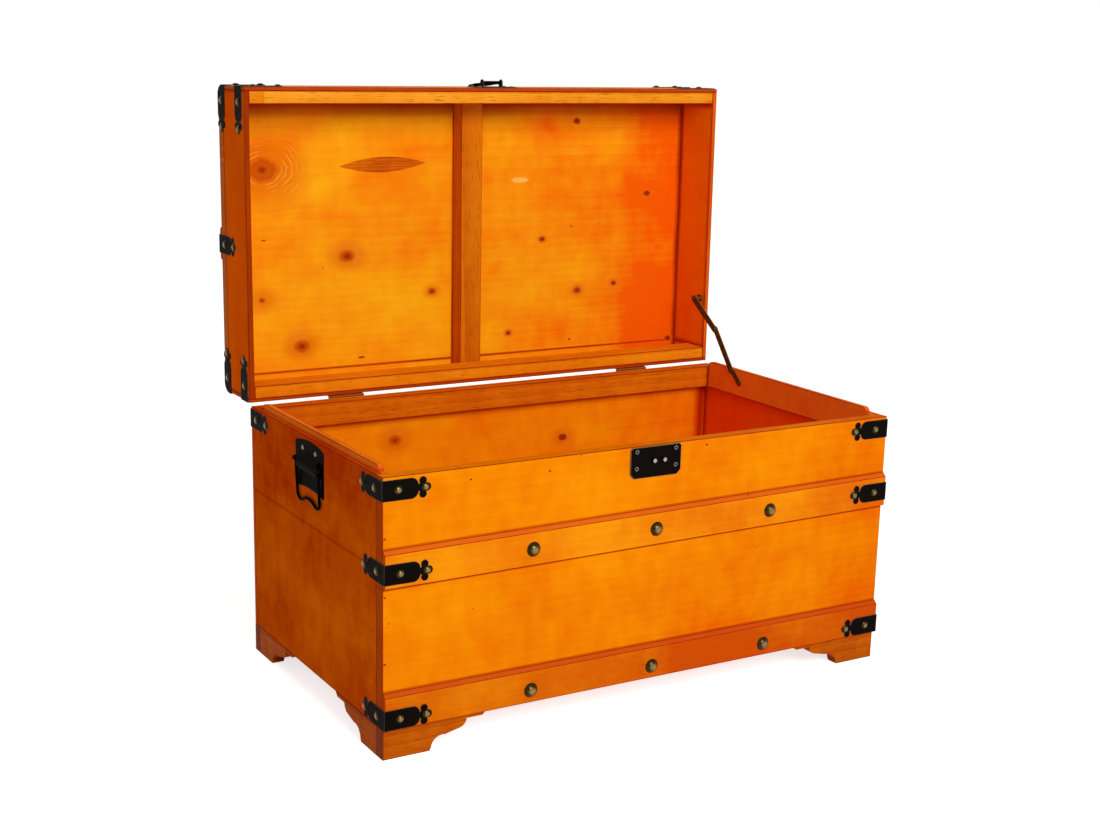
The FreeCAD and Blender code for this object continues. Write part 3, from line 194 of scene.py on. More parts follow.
def knot_figure(tree, place, run, knots):
    """What knots do: where the fibres come from, how near the nearest knot is, and its halo.

    knots are (x, y, z, radius, reach, core), in millimetres, with the reach of the halo in radii
    and the core the radius of the dark middle. run is the number of the axis that the fibres
    follow, along which knots are longer. The nearness is given in radii and in cores.
    """
    far_off = 99.0
    bent, near, nearest, halo = place, far_off, far_off, 0.0
    longer = Vector((1, 1, 1))
    longer[run] = 0.75
    for *spot, radius, reach, core in knots:
        offset = add(tree, "VectorMath", {"operation": "SUBTRACT"},
                     {0: place, 1: Vector(spot) * mm})
        oval = add(tree, "VectorMath", {"operation": "MULTIPLY"},
                   {0: offset, 1: longer / (radius * mm)})
        far = add(tree, "VectorMath", {"operation": "LENGTH"}, {0: oval}).outputs["Value"]
        pull = add(tree, "MapRange", {"interpolation_type": "SMOOTHSTEP"},
                   {"Value": far, "From Min": 0.6, "From Max": reach, "To Min": 0.85, "To Max": 0})
        push = add(tree, "VectorMath", {"operation": "SCALE"}, {0: offset, "Scale": pull})
        bent = add(tree, "VectorMath", {"operation": "SUBTRACT"}, {0: bent, 1: push})
        near = add(tree, "Math", {"operation": "MINIMUM"}, {0: near, 1: far})
        inner = add(tree, "Math", {"operation": "MULTIPLY"}, {0: far, 1: radius / core})
        nearest = add(tree, "Math", {"operation": "MINIMUM"}, {0: nearest, 1: inner})
        zone = add(tree, "MapRange", {"interpolation_type": "SMOOTHSTEP"},
                   {"Value": far, "From Min": 1, "From Max": reach, "To Min": 0.65, "To Max": 0})
        halo = add(tree, "Math", {"operation": "MAXIMUM"}, {0: halo, 1: zone})
    return bent, near, nearest, halo


def growth_rings(tree, bent, box, run, ring):
    """Wavy shells round the pith, ring millimetres apart and drawn out along the fibres.

    The pith runs beside the board, 30 and 70 mm from its middle.
    """
    pith = (box[0] + box[1]) / 2
    across = [i for i in range(3) if i != run]
    for i, away in zip(across, (30, 70)):
        pith[i] += away * mm
    shifted = add(tree, "VectorMath", {"operation": "SUBTRACT"}, {0: bent, 1: pith})
    slow = Vector((1, 1, 1))
    slow[run] = 0.12
    squeezed = add(tree, "VectorMath", {"operation": "MULTIPLY"}, {0: shifted, 1: slow})
    return add(tree, "TexWave", {"wave_type": "RINGS", "rings_direction": AXES[run].upper(),
                                 "wave_profile": "SAW"},
               {"Vector": squeezed, "Scale": 2 * math.pi / (20 * ring * mm), "Distortion": 5,
                "Detail": 3, "Detail Scale": 0.18, "Detail Roughness": 0.55})


def stain_depth(tree, parts, fades, patterns):
    """How deep the stain is, from 0 to 1: deeper along fades, and by each pattern's strength."""
    depth = 0.4
    for axis, start, end, more in fades:
        faded = add(tree, "MapRange", None, {"Value": parts.outputs[axis], "From Min": start * mm,
                                             "From Max": end * mm, "To Min": 0, "To Max": more})
        depth = add(tree, "Math", {"operation": "ADD"}, {0: depth, 1: faded})
    for pattern, strength in patterns:
        centred = add(tree, "Math", {"operation": "SUBTRACT"}, {0: pattern, 1: 0.5})
        depth = add(tree, "Math", {"operation": "MULTIPLY_ADD"},
                    {0: centred, 1: strength, 2: depth})
    return add(tree, "Math", {"operation": "MULTIPLY", "use_clamp": True}, {0: depth, 1: 1})


def arris_distance(tree, parts, box):
    """Distance to the nearest edge of a box: the middle one of its distances to the three pairs of
    faces."""
    low, high = box
    gaps = []
    for i, axis in enumerate("XYZ"):
        off = add(tree, "Math", {"operation": "SUBTRACT"},
                  {0: parts.outputs[axis], 1: (low[i] + high[i]) / 2})
        size = add(tree, "Math", {"operation": "ABSOLUTE"}, {0: off})
        gaps.append(add(tree, "Math", {"operation": "SUBTRACT"},
                        {0: (high[i] - low[i]) / 2, 1: size}))
    lesser = add(tree, "Math", {"operation": "MINIMUM"}, {0: gaps[0], 1: gaps[1]})
    greater = add(tree, "Math", {"operation": "MAXIMUM"}, {0: gaps[0], 1: gaps[1]})
    inner = add(tree, "Math", {"operation": "MINIMUM"}, {0: greater, 1: gaps[2]})
    return add(tree, "Math", {"operation": "MAXIMUM"}, {0: lesser, 1: inner})


def red_rim(tree, parts, clouds, box, wide):
    """A ragged rim along the arrises, about wide millimetres broad."""
    ragged = add(tree, "Math", {"operation": "MULTIPLY_ADD"},
                 {0: clouds, 1: -wide * mm, 2: arris_distance(tree, parts, box)})
    return add(tree, "MapRange", None, {"Value": ragged, "From Min": -0.5 * wide * mm,
                                        "From Max": 0.5 * wide * mm, "To Min": 0.85, "To Max": 0})


def dark_line(tree, parts, box, run, height, rise, strength):
    """A line along a board at a height, which rises from end to end: 1.2 mm each way and then
    soft."""
    course = add(tree, "MapRange", None,
                 {"Value": parts.outputs[run], "From Min": box[0][run], "From Max": box[1][run],
                  "To Min": height * mm, "To Max": (height + rise) * mm})
    off = add(tree, "Math", {"operation": "SUBTRACT"}, {0: parts.outputs["Z"], 1: course})
    apart = add(tree, "Math", {"operation": "ABSOLUTE"}, {0: off})
    return add(tree, "MapRange", None, {"Value": apart, "From Min": 1.2 * mm,
                                        "From Max": 2.8 * mm, "To Min": strength, "To Max": 0})


def corner_shade_and_rim_stain(tree, parts, normal, clouds, inward, corners):
    """Darkening near planes on inward faces: painted corner shade, and the lid's red rim stain."""
    looks = add(tree, "VectorMath", {"operation": "DOT_PRODUCT"},
                {0: normal, 1: Vector(inward)}).outputs["Value"]
    darkened = 0.0
    for axis, spot, reach in corners:
        off = add(tree, "Math", {"operation": "SUBTRACT"}, {0: parts.outputs[axis], 1: spot * mm})
        apart = add(tree, "Math", {"operation": "ABSOLUTE"}, {0: off})
        uneven = add(tree, "Math", {"operation": "MULTIPLY_ADD"},
                     {0: clouds, 1: reach * mm, 2: apart})
        darkening = add(tree, "MapRange", {"interpolation_type": "SMOOTHSTEP"},
                   {"Value": uneven, "From Min": 0.4 * reach * mm, "From Max": 1.6 * reach * mm,
                    "To Min": 1, "To Max": 0})
        darkened = add(tree, "Math", {"operation": "MAXIMUM"}, {0: darkened, 1: darkening})
    return add(tree, "Math", {"operation": "MULTIPLY", "use_clamp": True}, {0: looks, 1: darkened})


def end_grain(tree, normal, run):
    """How far a face shows the ends of the fibres."""
    facing = add(tree, "SeparateXYZ", None, {0: normal})
    turned = add(tree, "Math", {"operation": "ABSOLUTE"}, {0: facing.outputs[run]})
    return add(tree, "MapRange", None, {"Value": turned, "From Min": 0.75, "From Max": 0.9,
                                        "To Min": 0, "To Max": 0.75})


def slant(tree, normal):
    """0 on faces square to an axis, up to 1 on bevels, rounded edges and domes."""
    facing = add(tree, "SeparateXYZ", None, {0: normal})
    most = 0.0
    for axis in "XYZ":
        size = add(tree, "Math", {"operation": "ABSOLUTE"}, {0: facing.outputs[axis]})
        most = add(tree, "Math", {"operation": "MAXIMUM"}, {0: most, 1: size})
    return add(tree, "MapRange", None, {"Value": most, "From Min": 0.98, "From Max": 0.85,
                                        "To Min": 0, "To Max": 1})


def draw_knots(tree, colour, place, smudges, near, nearest, halo):
    """Round each knot a red-brown halo with pale broken arcs, and in it the dark heart.

    The arcs are close, nearly three to each radius of the knot, and wander a little.
    """
    arcs_each = 2.706
    colour = add(tree, "Mix", {"data_type": "RGBA"},
                 {"Factor": halo, "A": colour, "B": linear("#DE6400")})
    wobble = add(tree, "TexNoise", None, {"Vector": place, "Scale": 1 / (16.67 * mm), "Detail": 2})
    field = add(tree, "Math", {"operation": "MULTIPLY_ADD"}, {0: wobble, 1: 0.6, 2: near})
    turns = add(tree, "Math", {"operation": "MULTIPLY"}, {0: field, 1: 2 * math.pi * arcs_each})
    wave = add(tree, "Math", {"operation": "SINE"}, {0: turns})
    arcs = add(tree, "MapRange", None, {"Value": wave, "From Min": 0.3, "From Max": 1})
    broken = add(tree, "MapRange", None, {"Value": smudges, "From Min": 0.45, "From Max": 0.6})
    arcs = add(tree, "Math", {"operation": "MULTIPLY"}, {0: arcs, 1: broken})
    arcs = add(tree, "Math", {"operation": "MULTIPLY"}, {0: arcs, 1: halo})
    colour = add(tree, "Mix", {"data_type": "RGBA"},
                 {"Factor": arcs, "A": colour, "B": linear("#FFB440")})
    core = add(tree, "MapRange", None, {"Value": nearest, "From Min": 0.6, "From Max": 1.6})
    heart = add(tree, "Mix", {"data_type": "RGBA"},
                {"Factor": core, "A": linear("#8A1804"), "B": linear("#C85000")})
    hearts = add(tree, "MapRange", None, {"Value": field, "From Min": 1.1, "From Max": 1.5,
                                          "To Min": 0.9, "To Max": 0})
    return add(tree, "Mix", {"data_type": "RGBA"}, {"Factor": hearts, "A": colour, "B": heart})


def draw_scar(tree, colour, place, smudges, run, x, y, z, long, tall, tone):
    """A scar with a ragged outline, twice long by twice tall."""
    off = add(tree, "VectorMath", {"operation": "SUBTRACT"},
              {0: place, 1: Vector((x, y, z)) * mm})
    size = Vector((1, 1, 1)) / (tall * mm)
    size[run] = 1 / (long * mm)
    oval = add(tree, "VectorMath", {"operation": "MULTIPLY"}, {0: off, 1: size})
    far = add(tree, "VectorMath", {"operation": "LENGTH"}, {0: oval}).outputs["Value"]
    torn = add(tree, "Math", {"operation": "ADD"}, {0: far, 1: smudges})
    scar = add(tree, "MapRange", None, {"Value": torn, "From Min": 1.2, "From Max": 1.6,
                                        "To Min": 0.85, "To Max": 0})
    return add(tree, "Mix", {"data_type": "RGBA"},
               {"Factor": scar, "A": colour, "B": linear(tone)})


def wood(name, box, grain, tones, ring=12, figure=0.1, fibre=0.3, cloud=1.3, smudge=0.7,
         fades=(), knots=(), marks=(), specks=0.6, pores=0.04, joints=(), inward=(0, 0, 0),
         corners=(), edge_wide=2.2, shine=0.025):
    """Stained wood, cut from a log whose growth rings run round a line beside the board.

    box is the board's lowest and highest corner and grain the axis that its fibres follow. tones
    are four colours: where the stain is pale, where it is deep, on arrises, end grain and glue
    seams, and in the painted shadow lines and painted corner shade, and the painted highlight on
    bevels. Sizes are in millimetres: ring is the spacing of the rings, and edge_wide the dark rim
    along arrises. figure, fibre, cloud, smudge, specks and pores are strengths. fades are (axis,
    from, to, depth) of a deeper stain, and joints are (height, rise, strength) of
    dark lines along the board, with their rise from end to end: glue seams, and painted shadows
    below bands. inward is the way that the inner face looks, and corners are (axis, place, reach)
    of the darkening near where it meets other boards: painted shade in inner corners, and the red
    stain on the lid's rim edges. marks are (x, y, z, half length, half height, colour) of scars.
    """
    pale, deep, edge, bevel_highlight = tones
    material, tree = new_material(name)
    where = add(tree, "TexCoord")
    place, normal = where.outputs["Object"], where.outputs["Normal"]
    parts = add(tree, "SeparateXYZ", None, {0: place})
    run = AXES.index(grain)
    bent, near, nearest, halo = knot_figure(tree, place, run, knots)

    # fibres, drawn 1.7 mm wide so that they show, clouds of stain a hand or so across, and smudges
    # as wide as a finger
    noises = []
    for at, long, wide, detail in ((bent, 83.3, 1.667, 2), (place, 166.7, 100, 6),
                                   (place, 20.83, 33.33, 6)):
        scale = Vector((1, 1, 1)) / (wide * mm)
        scale[run] = 1 / (long * mm)
        scaled = add(tree, "VectorMath", {"operation": "MULTIPLY"}, {0: at, 1: scale})
        noises.append(add(tree, "TexNoise", None, {"Vector": scaled, "Scale": 1, "Detail": detail}))
    fibres, clouds, smudges = noises
    rings = growth_rings(tree, bent, box, run, ring)
    depth = stain_depth(tree, parts, fades, ((rings, figure), (fibres, fibre), (clouds, cloud),
                                             (smudges, smudge)))
    colour = add(tree, "Mix", {"data_type": "RGBA"},
                 {"Factor": depth, "A": linear(pale), "B": linear(deep)})

    # dark arrises, seams, end grain, painted shadow lines and painted corner shade; painted bevel
    # highlight
    reds = [dark_line(tree, parts, box, run, *line_spec) for line_spec in joints]
    if corners:
        reds.append(corner_shade_and_rim_stain(tree, parts, normal, clouds, inward, corners))
    reds.append(end_grain(tree, normal, run))
    red = red_rim(tree, parts, clouds, box, edge_wide)
    for other in reds:
        red = add(tree, "Math", {"operation": "MAXIMUM"}, {0: red, 1: other})
    colour = add(tree, "Mix", {"data_type": "RGBA"},
                 {"Factor": red, "A": colour, "B": linear(edge)})
    bevel_highlight_mask = add(tree, "Math", {"operation": "MULTIPLY"}, {0: slant(tree, normal), 1: 0.85})
    colour = add(tree, "Mix", {"data_type": "RGBA"},
                 {"Factor": bevel_highlight_mask, "A": colour, "B": linear(bevel_highlight)})

    if knots:
        colour = draw_knots(tree, colour, place, smudges, near, nearest, halo)
    for mark in marks:
        colour = draw_scar(tree, colour, place, smudges, run, *mark)

    # specks, such as pin holes and dents, up to 1.7 mm in radius: one in each patch of 71 mm
    apart = 71.43
    size = box[1] - box[0]
    flat = Vector((1, 1, 1)) / (apart * mm)
    flat[min(range(3), key=lambda i: size[i])] = 0.1
    spread = add(tree, "VectorMath", {"operation": "MULTIPLY"}, {0: place, 1: flat})
    cells = add(tree, "TexVoronoi", None, {"Vector": spread, "Scale": 1})
    speck = add(tree, "MapRange", None, {"Value": cells, "From Min": 0.714 / apart,
                                         "From Max": 1.714 / apart, "To Min": specks, "To Max": 0})
    colour = add(tree, "Mix", {"data_type": "RGBA"},
                 {"Factor": speck, "A": colour, "B": linear("#702000")})

    # open pores, drawn as dashes 22 mm long and 1.6 mm wide so that they show
    short = Vector((1, 1, 1)) / (1.613 * mm)
    short[run] = 1 / (22.22 * mm)
    dashes = add(tree, "VectorMath", {"operation": "MULTIPLY"}, {0: bent, 1: short})
    holes = add(tree, "TexNoise", None, {"Vector": dashes, "Scale": 1, "Detail": 1})
    pore = add(tree, "MapRange", None, {"Value": holes, "From Min": 0.6, "From Max": 0.7,
                                        "To Min": 0, "To Max": pores})
    colour = add(tree, "Mix", {"data_type": "RGBA"},
                 {"Factor": pore, "A": colour, "B": linear("#7A3000")})

    # thin satin varnish, which sinks a little between the fibres and into the pores
    relief = add(tree, "Math", {"operation": "SUBTRACT"}, {0: fibres, 1: pore})
    bump = add(tree, "Bump", None, {"Strength": 0.3, "Distance": 0.3 * mm, "Height": relief})
    gloss = add(tree, "MapRange", None, {"Value": fibres, "From Min": 0.3, "From Max": 0.7,
                                         "To Min": 0.43, "To Max": 0.59})
    surface = add(tree, "BsdfPrincipled", None,
                  {"Base Color": colour, "Roughness": gloss, "Specular IOR Level": shine,
                   "Normal": bump})
    add(tree, "OutputMaterial", None, {"Surface": surface})
    return material


# an edge that turns by more than this is one that hands and sandpaper rub round
sharp_edge = math.radians(35)


def finished_copy(node, name, materials, rub):
    """A copy of a CAD node with its edges rubbed round, rub millimetres wide. It replaces the node.

    materials are that of the piece and, where it differs, that of the rubbed edges.
    """
    piece = bpy.data.objects.new(name, nodes[node].data.copy())
    scene.collection.objects.link(piece)
    bpy.ops.object.select_all(action="DESELECT")
    piece.select_set(True)
    bpy.context.view_layer.objects.active = piece
    piece.data.materials.clear()
    for material in materials:
        piece.data.materials.append(material)
    bpy.ops.mesh.customdata_custom_splitnormals_clear()
    bpy.ops.object.mode_set(mode="EDIT")
    bpy.ops.mesh.select_all(action="SELECT")
    bpy.ops.mesh.remove_doubles(threshold=0.002 * mm)
    bpy.ops.mesh.dissolve_limited(angle_limit=math.radians(0.5))
    bpy.ops.object.mode_set(mode="OBJECT")
    bevel = piece.modifiers.new("rubbed_edges", "BEVEL")
    bevel.width = rub * mm
    bevel.segments = 2
    bevel.limit_method = "ANGLE"
    bevel.angle_limit = sharp_edge
    bevel.material = len(materials) - 1
    bpy.ops.object.modifier_apply(modifier=bevel.name)
    bpy.ops.object.shade_smooth_by_angle(angle=sharp_edge)
    weighted = piece.modifiers.new("flat_faces", "WEIGHTED_NORMAL")
    weighted.keep_sharp = True
    bpy.ops.object.modifier_apply(modifier=weighted.name)
    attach(piece, nodes[node]["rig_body"])
    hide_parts(node)
    return piece


def sanded_red(name, dark, pale):
    """The red of sanded edges: matt, in blotches 17 mm wide, and paler where hands rub them."""
    material, tree = new_material(name)
    place = add(tree, "TexCoord").outputs["Object"]
    blotches = add(tree, "TexNoise", None,
                   {"Vector": place, "Scale": 1 / (16.67 * mm), "Detail": 4})
    rubbed = add(tree, "MapRange", None, {"Value": blotches, "From Min": 0.35, "From Max": 0.7})
    colour = add(tree, "Mix", {"data_type": "RGBA"},
                 {"Factor": rubbed, "A": linear(dark), "B": linear(pale)})
    bump = add(tree, "Bump", None, {"Strength": 0.2, "Distance": 0.2 * mm, "Height": blotches})
    surface = add(tree, "BsdfPrincipled", None,
                  {"Base Color": colour, "Roughness": 0.5, "Specular IOR Level": 0.01,
                   "Normal": bump})
    add(tree, "OutputMaterial", None, {"Surface": surface})
    return material


# stained pine on its sanded arrises: thin lines of dark red that outline each board
dark_arris = sanded_red("stained_pine_arris", "#961A00", "#B83008")


def wooden(node, grain, pale, deep, edge="#B42A00", bevel_highlight="#E46418", rub=0.8, **details):
    """Give a board its own stained wood, with the tones and details of wood(), and rubbed edges."""
    material = wood("stained_pine_" + node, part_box(node), grain, (pale, deep, edge, bevel_highlight),
                    **details)
    piece = finished_copy(node, node + "_sanded", (material, dark_arris), rub)
    return piece


# Under each band a dark line is painted on the board as its shadow, and a fainter one above it, and
# the middle band climbs. Small nails left pin holes at the board's left end and under the rim.
front_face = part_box("front_board")[0].y / mm
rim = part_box("front_board")[1].z / mm
middle_low, middle_high = [corner.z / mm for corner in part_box("middle_band")]
bottom_low, bottom_high = [corner.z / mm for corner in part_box("bottom_band")]
climb, shadow_below, line_above = 9, 1.5, 0.5
pin_hole = 1.3
wooden("front_board", "x", "#F49604", "#E25F00", "#A82000", cloud=1.3, fibre=0.2, shine=0.005,
       edge_wide=1.4,
       joints=((middle_low - shadow_below, climb, 0.85), (bottom_low - shadow_below, 0, 0.85),
               (middle_high - climb + line_above, climb, 0.6), (bottom_high + line_above, 0, 0.6)),
       fades=(("X", -400, 400, 0.1), ("X", 150, 400, 0.15), ("Z", 240, 80, 0.15),
              ("Z", rim - 2, rim, 0.1)),
       knots=[(x, front_face, z, pin_hole, 1.1, pin_hole)
              for x, z in ((-397, 290), (-397, 215), (-397, 128), (81, 359), (-279, 352),
                           (-165, 350))])

# The back, side and floor boards are thinner pine, nailed together and glued up from two or three
# widths. The sides took the stain redder than the front, and the inner faces are darkened into the
# corners with painted shade.
back_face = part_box("back_board")[0].y / mm
rail_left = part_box("left_rail")[1].x / mm
rail_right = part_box("right_rail")[0].x / mm
rail_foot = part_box("back_rail")[0].z / mm
side_joint = 247  # the height at which each side is glued up of two widths
wooden("back_board", "x", "#FFA404", "#F26600", "#C42000", fades=(("X", -100, 380, 0.4),),
       inward=(0, -1, 0), corners=(("X", rail_right, 16), ("X", rail_left, 8), ("Z", rail_foot, 6)),
       knots=((-177, back_face, 296, 8, 4, 2.5), (117, back_face, 271, 6, 4, 5)))
wooden("left_board", "y", "#EA6A04", "#C43800", "#982000", joints=((side_joint, 0, 0.35),),
       shine=0.0, cloud=2.0, smudge=1.0, fades=(("Z", 230, rim, 0.4),))
wooden("right_board", "y", "#FF6800", "#FA4000", "#C41800", joints=((side_joint, 0, 0.35),),
       shine=0.02, inward=(-1, 0, 0), corners=(("Y", back_face, 12), ("Z", rail_foot, 6)))
wooden("floor_board", "x", "#F88600", "#E86400")

# The rails: the rear one is an oak-like strip with open pores that stiffens the rim, and the two at
# the sides are pine and stand a little above it, so that they locate the shut lid. Their inner
# faces are darkened where they meet other parts, painted shade.
back_rail_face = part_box("back_rail")[0].y / mm
wooden("back_rail", "x", "#E67808", "#C85000", "#A02800", figure=0.4, pores=0.4,
       inward=(0, -1, 0), corners=(("X", rail_right, 5), ("X", rail_left, 5)))
for node in ("left_rail", "right_rail"):
    wooden(node, "y", "#FF8A24", "#F06210", "#B82800", shine=0.01,
           inward=(-1, 0, 0), corners=(("Y", back_rail_face, 6),))

# Two pine bands run across the front, glued on and held by domed studs. Their top edges are
# chamfered, stained red there and given a painted highlight.
band_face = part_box("middle_band")[0].y / mm
wooden("middle_band", "x", "#F49508", "#DE6200", cloud=2.0, pores=0.1, bevel_highlight="#D85C14", rub=1.2,
       fades=(("X", -100, 400, 0.25),), knots=((141, band_face, 288, 3, 1.6, 3),))
wooden("bottom_band", "x", "#E27C04", "#CA4C00", cloud=2.2, pores=0.15, bevel_highlight="#C64C10", rub=1.2,
       fades=(("X", -300, 0, 0.25), ("X", 0, 400, 0.3)))

# Each foot is a pair of brackets, sawn to an ogee from an oak-like board and glued under the
# body's corner. The wood is browner than the boards, with open pores.
for side in ("left", "right"):
    for end, face in (("front", "front"), ("rear", "back")):
        wooden("%s_%s_%s_bracket" % (end, side, face), "x", "#CC6406", "#A44200", "#702000",
               figure=0.4, fibre=0.6, pores=0.6)
        wooden("%s_%s_side_bracket" % (end, side), "y", "#D06004", "#A44200", "#702000",
               figure=0.4, fibre=0.6, pores=0.6, shine=0.02)

# The lid's frame: two long boards of thin pine and two ends, nailed at the corners. Their rim edges
# are stained red, and the right end's inner face is darkened with painted shade where it meets the
# panel and the rails.
lid_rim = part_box("lid_left_end")[0].y / mm
panel_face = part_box("lid_panel")[0].y / mm
upper_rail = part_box("lid_front_rail")[0].z / mm
lower_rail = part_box("lid_back_rail")[1].z / mm
for node in ("lid_front_board", "lid_back_board"):
    wooden(node, "x", "#FF8C04", "#EC6000", "#A63C0A", "#B84A14", edge_wide=4,
           inward=(0, -1, 0), corners=(("Y", lid_rim, 20),))
wooden("lid_left_end", "z", "#FA6806", "#E44C00", "#943408", "#A84410", edge_wide=6, shine=0.0,
       inward=(0, -1, 0), corners=(("Y", lid_rim, 20),))
wooden("lid_right_end", "z", "#FF8A04", "#F65C00", "#B83008", "#B84A14", edge_wide=8,
       inward=(-1, 0, 0),
       corners=(("Y", panel_face, 9), ("Z", upper_rail, 12), ("Z", lower_rail, 8)))

# The lid's panel is one wide pine board with rounded long edges, nailed on the frame. It has a
# dozen knots, the largest with a wide figure round it, a pale scar and a red stain on the right.
# Painted shade darkens it along the ends, the rails and the batten, broadest as the shadow under
# the front rail.
end_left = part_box("lid_left_end")[1].x / mm
end_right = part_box("lid_right_end")[0].x / mm
batten_left, batten_right = [corner.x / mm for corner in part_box("lid_batten")]
panel = wooden("lid_panel", "x", "#FFBC12", "#F46000", "#A82400", "#F88C04", cloud=1.5, fibre=0.25,
               smudge=0.5, fades=(("X", -350, 400, 0.3), ("X", 270, 305, 0.3)), inward=(0, -1, 0),
               corners=(("X", end_left, 5), ("X", end_right, 10), ("Z", upper_rail, 26),
                        ("Z", lower_rail, 3), ("X", batten_left, 3), ("X", batten_right, 3)),
               knots=[(x, panel_face, z, radius, reach, core)
                      for x, z, radius, reach, core in (
                          (-343, 694, 17, 4.5, 4), (-210, 563, 9, 3.5, 4), (-285, 431, 9, 3.5, 3.5),
                          (-68, 502, 5, 3, 2.5), (189, 761, 5, 1.5, 5), (328, 643, 5, 1.5, 5),
                          (129, 575, 4.5, 2, 3.5), (183, 594, 1.6, 1.5, 1.5),
                          (197, 489, 6, 2.5, 3), (267, 497, 4, 3, 3), (69, 427, 4, 2.5, 2.5),
                          (184, 409, 1.6, 1.5, 1.6), (380, 397, 4.5, 2, 4.5),
                          (-347, 504, 4, 7, 1.5))],
               marks=((87, panel_face, 670, 18, 4.5, "#FFC058"),
                      (-343, panel_face, 592, 5, 2, "#702000"),
                      (-188, panel_face, 407, 6, 2, "#702000")))

# A pine band runs along the outside of the lid, and inside it an oak-like rail along each long
# side and one batten stiffen it, glued and with open pores.
rail_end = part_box("lid_front_rail")[0].x / mm
end_piece = 22.5  # the front rail's left end is pieced out with a darker scrap
wooden("lid_band", "x", "#FF9804", "#EC6400")
wooden("lid_front_rail", "x", "#FFAA2C", "#E47C08", "#C04000", figure=0.4, fibre=0.6, pores=0.45,
       fades=(("X", rail_end + end_piece + 1, rail_end + end_piece - 1, 0.5),
              ("X", -300, 200, 0.2)))
wooden("lid_back_rail", "x", "#F89410", "#E06C00", "#C04000", figure=0.4, fibre=0.6, pores=0.45)
wooden("lid_batten", "z", "#DC7608", "#B85000", "#983000", figure=0.5, fibre=0.6, pores=0.4)


# One flaw in the lid's panel was cut out and filled with a boat-shaped slip of darker pine, where
# two arcs meet. It is glued in, sanded almost flush, and the glue shows dark round it.
slip_long, slip_tall, slip_thick, glue_wide = 142 * mm, 22.5 * mm, 0.3 * mm, 1.5 * mm
slip_middle = Vector((-151, 200, 698.8)) * mm
slip_tilt, lid_lean = math.radians(1.45), math.radians(0.3)
bow = (slip_long ** 2 + slip_tall ** 2) / (4 * slip_tall)
discs = []
for way in (-1, 1):
    bpy.ops.object.select_all(action="DESELECT")
    bpy.ops.mesh.primitive_cylinder_add(vertices=720, radius=bow, depth=slip_thick,
                                        location=(0, 0, way * (bow - slip_tall / 2)),
                                        rotation=(math.pi / 2, 0, 0))
    discs.append(bpy.context.object)
slip = discs[1]
slip.name = "panel_patch"
common = slip.modifiers.new("boat", "BOOLEAN")
common.operation = "INTERSECT"
common.object = discs[0]
bpy.ops.object.modifier_apply(modifier=common.name)
bpy.data.objects.remove(discs[0])
bpy.ops.object.transform_apply(location=True, rotation=True, scale=False)
spot = panel.closest_point_on_mesh(slip_middle)[1]
slip.location = spot - Vector((0, slip_thick / 2, 0))
slip.rotation_euler = (lid_lean, -slip_tilt, 0)
bpy.ops.object.transform_apply(location=True, rotation=True, scale=False)
slip_box = [Vector([end(v.co[i] for v in slip.data.vertices) for i in range(3)])
            for end in (min, max)]
# darker pine has close rings and open pores, and old glue is a brown line
slip.data.materials.append(wood("darker_pine_patch", slip_box, "x",
                                ("#E4740A", "#B84600", "#8C3000", "#8C3000"), ring=4, figure=0.5,
                                fibre=0.8, pores=0.5, specks=0))
slip.data.materials.append(sanded_red("glue_line", "#7A2600", "#9C3800"))
bpy.ops.object.mode_set(mode="EDIT")
bpy.ops.mesh.select_all(action="SELECT")
bpy.ops.object.mode_set(mode="OBJECT")
for face in slip.data.polygons:
    face.material_index = 1
    face.select = face.normal.y < -0.9
bpy.ops.object.mode_set(mode="EDIT")
bpy.ops.mesh.select_mode(type="FACE")
bpy.ops.mesh.inset(thickness=glue_wide)
slip.active_material_index = 0
bpy.ops.object.material_slot_assign()
bpy.ops.object.mode_set(mode="OBJECT")
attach(slip, "lid")


# The corner straps, the lock plate and the hasp's plate are cut from sheet iron, the straps with
# trefoil ends and bent round the corner, painted black, and held by domed nails or rivets.
def metal(name, base, bent, rough, wear=0.3, metallic=1.0, shine=0.5):
    """Metal with a thin patina: base is its colour, bent that of folds, edges and rims of domes.

    wear is how much of the other colour shows in blotches on flat faces, 5.6 mm wide. The grit that
    makes it a little rough is drawn 1.1 mm wide so that it shows.
    """
    material, tree = new_material(name)
    where = add(tree, "TexCoord")
    place = where.outputs["Object"]
    mottle = add(tree, "TexNoise", None, {"Vector": place, "Scale": 1 / (5.556 * mm), "Detail": 5})
    patch = add(tree, "MapRange", None, {"Value": mottle, "From Min": 0.52, "From Max": 0.75,
                                         "To Min": 0, "To Max": wear})
    mixed = add(tree, "Math", {"operation": "MAXIMUM"},
                {0: patch, 1: slant(tree, where.outputs["Normal"])})
    colour = add(tree, "Mix", {"data_type": "RGBA"},
                 {"Factor": mixed, "A": linear(base), "B": linear(bent)})
    gloss = add(tree, "MapRange", None, {"Value": mottle, "From Min": 0.3, "From Max": 0.7,
                                         "To Min": rough - 0.08, "To Max": rough + 0.1})
    grit = add(tree, "TexNoise", None, {"Vector": place, "Scale": 1 / (1.111 * mm), "Detail": 2})
    bump = add(tree, "Bump", None, {"Strength": 0.25, "Distance": 0.1 * mm, "Height": grit})
    surface = add(tree, "BsdfPrincipled", None,
                  {"Base Color": colour, "Metallic": metallic, "Roughness": gloss,
                   "Specular IOR Level": shine, "Normal": bump})
    add(tree, "OutputMaterial", None, {"Surface": surface})
    return material


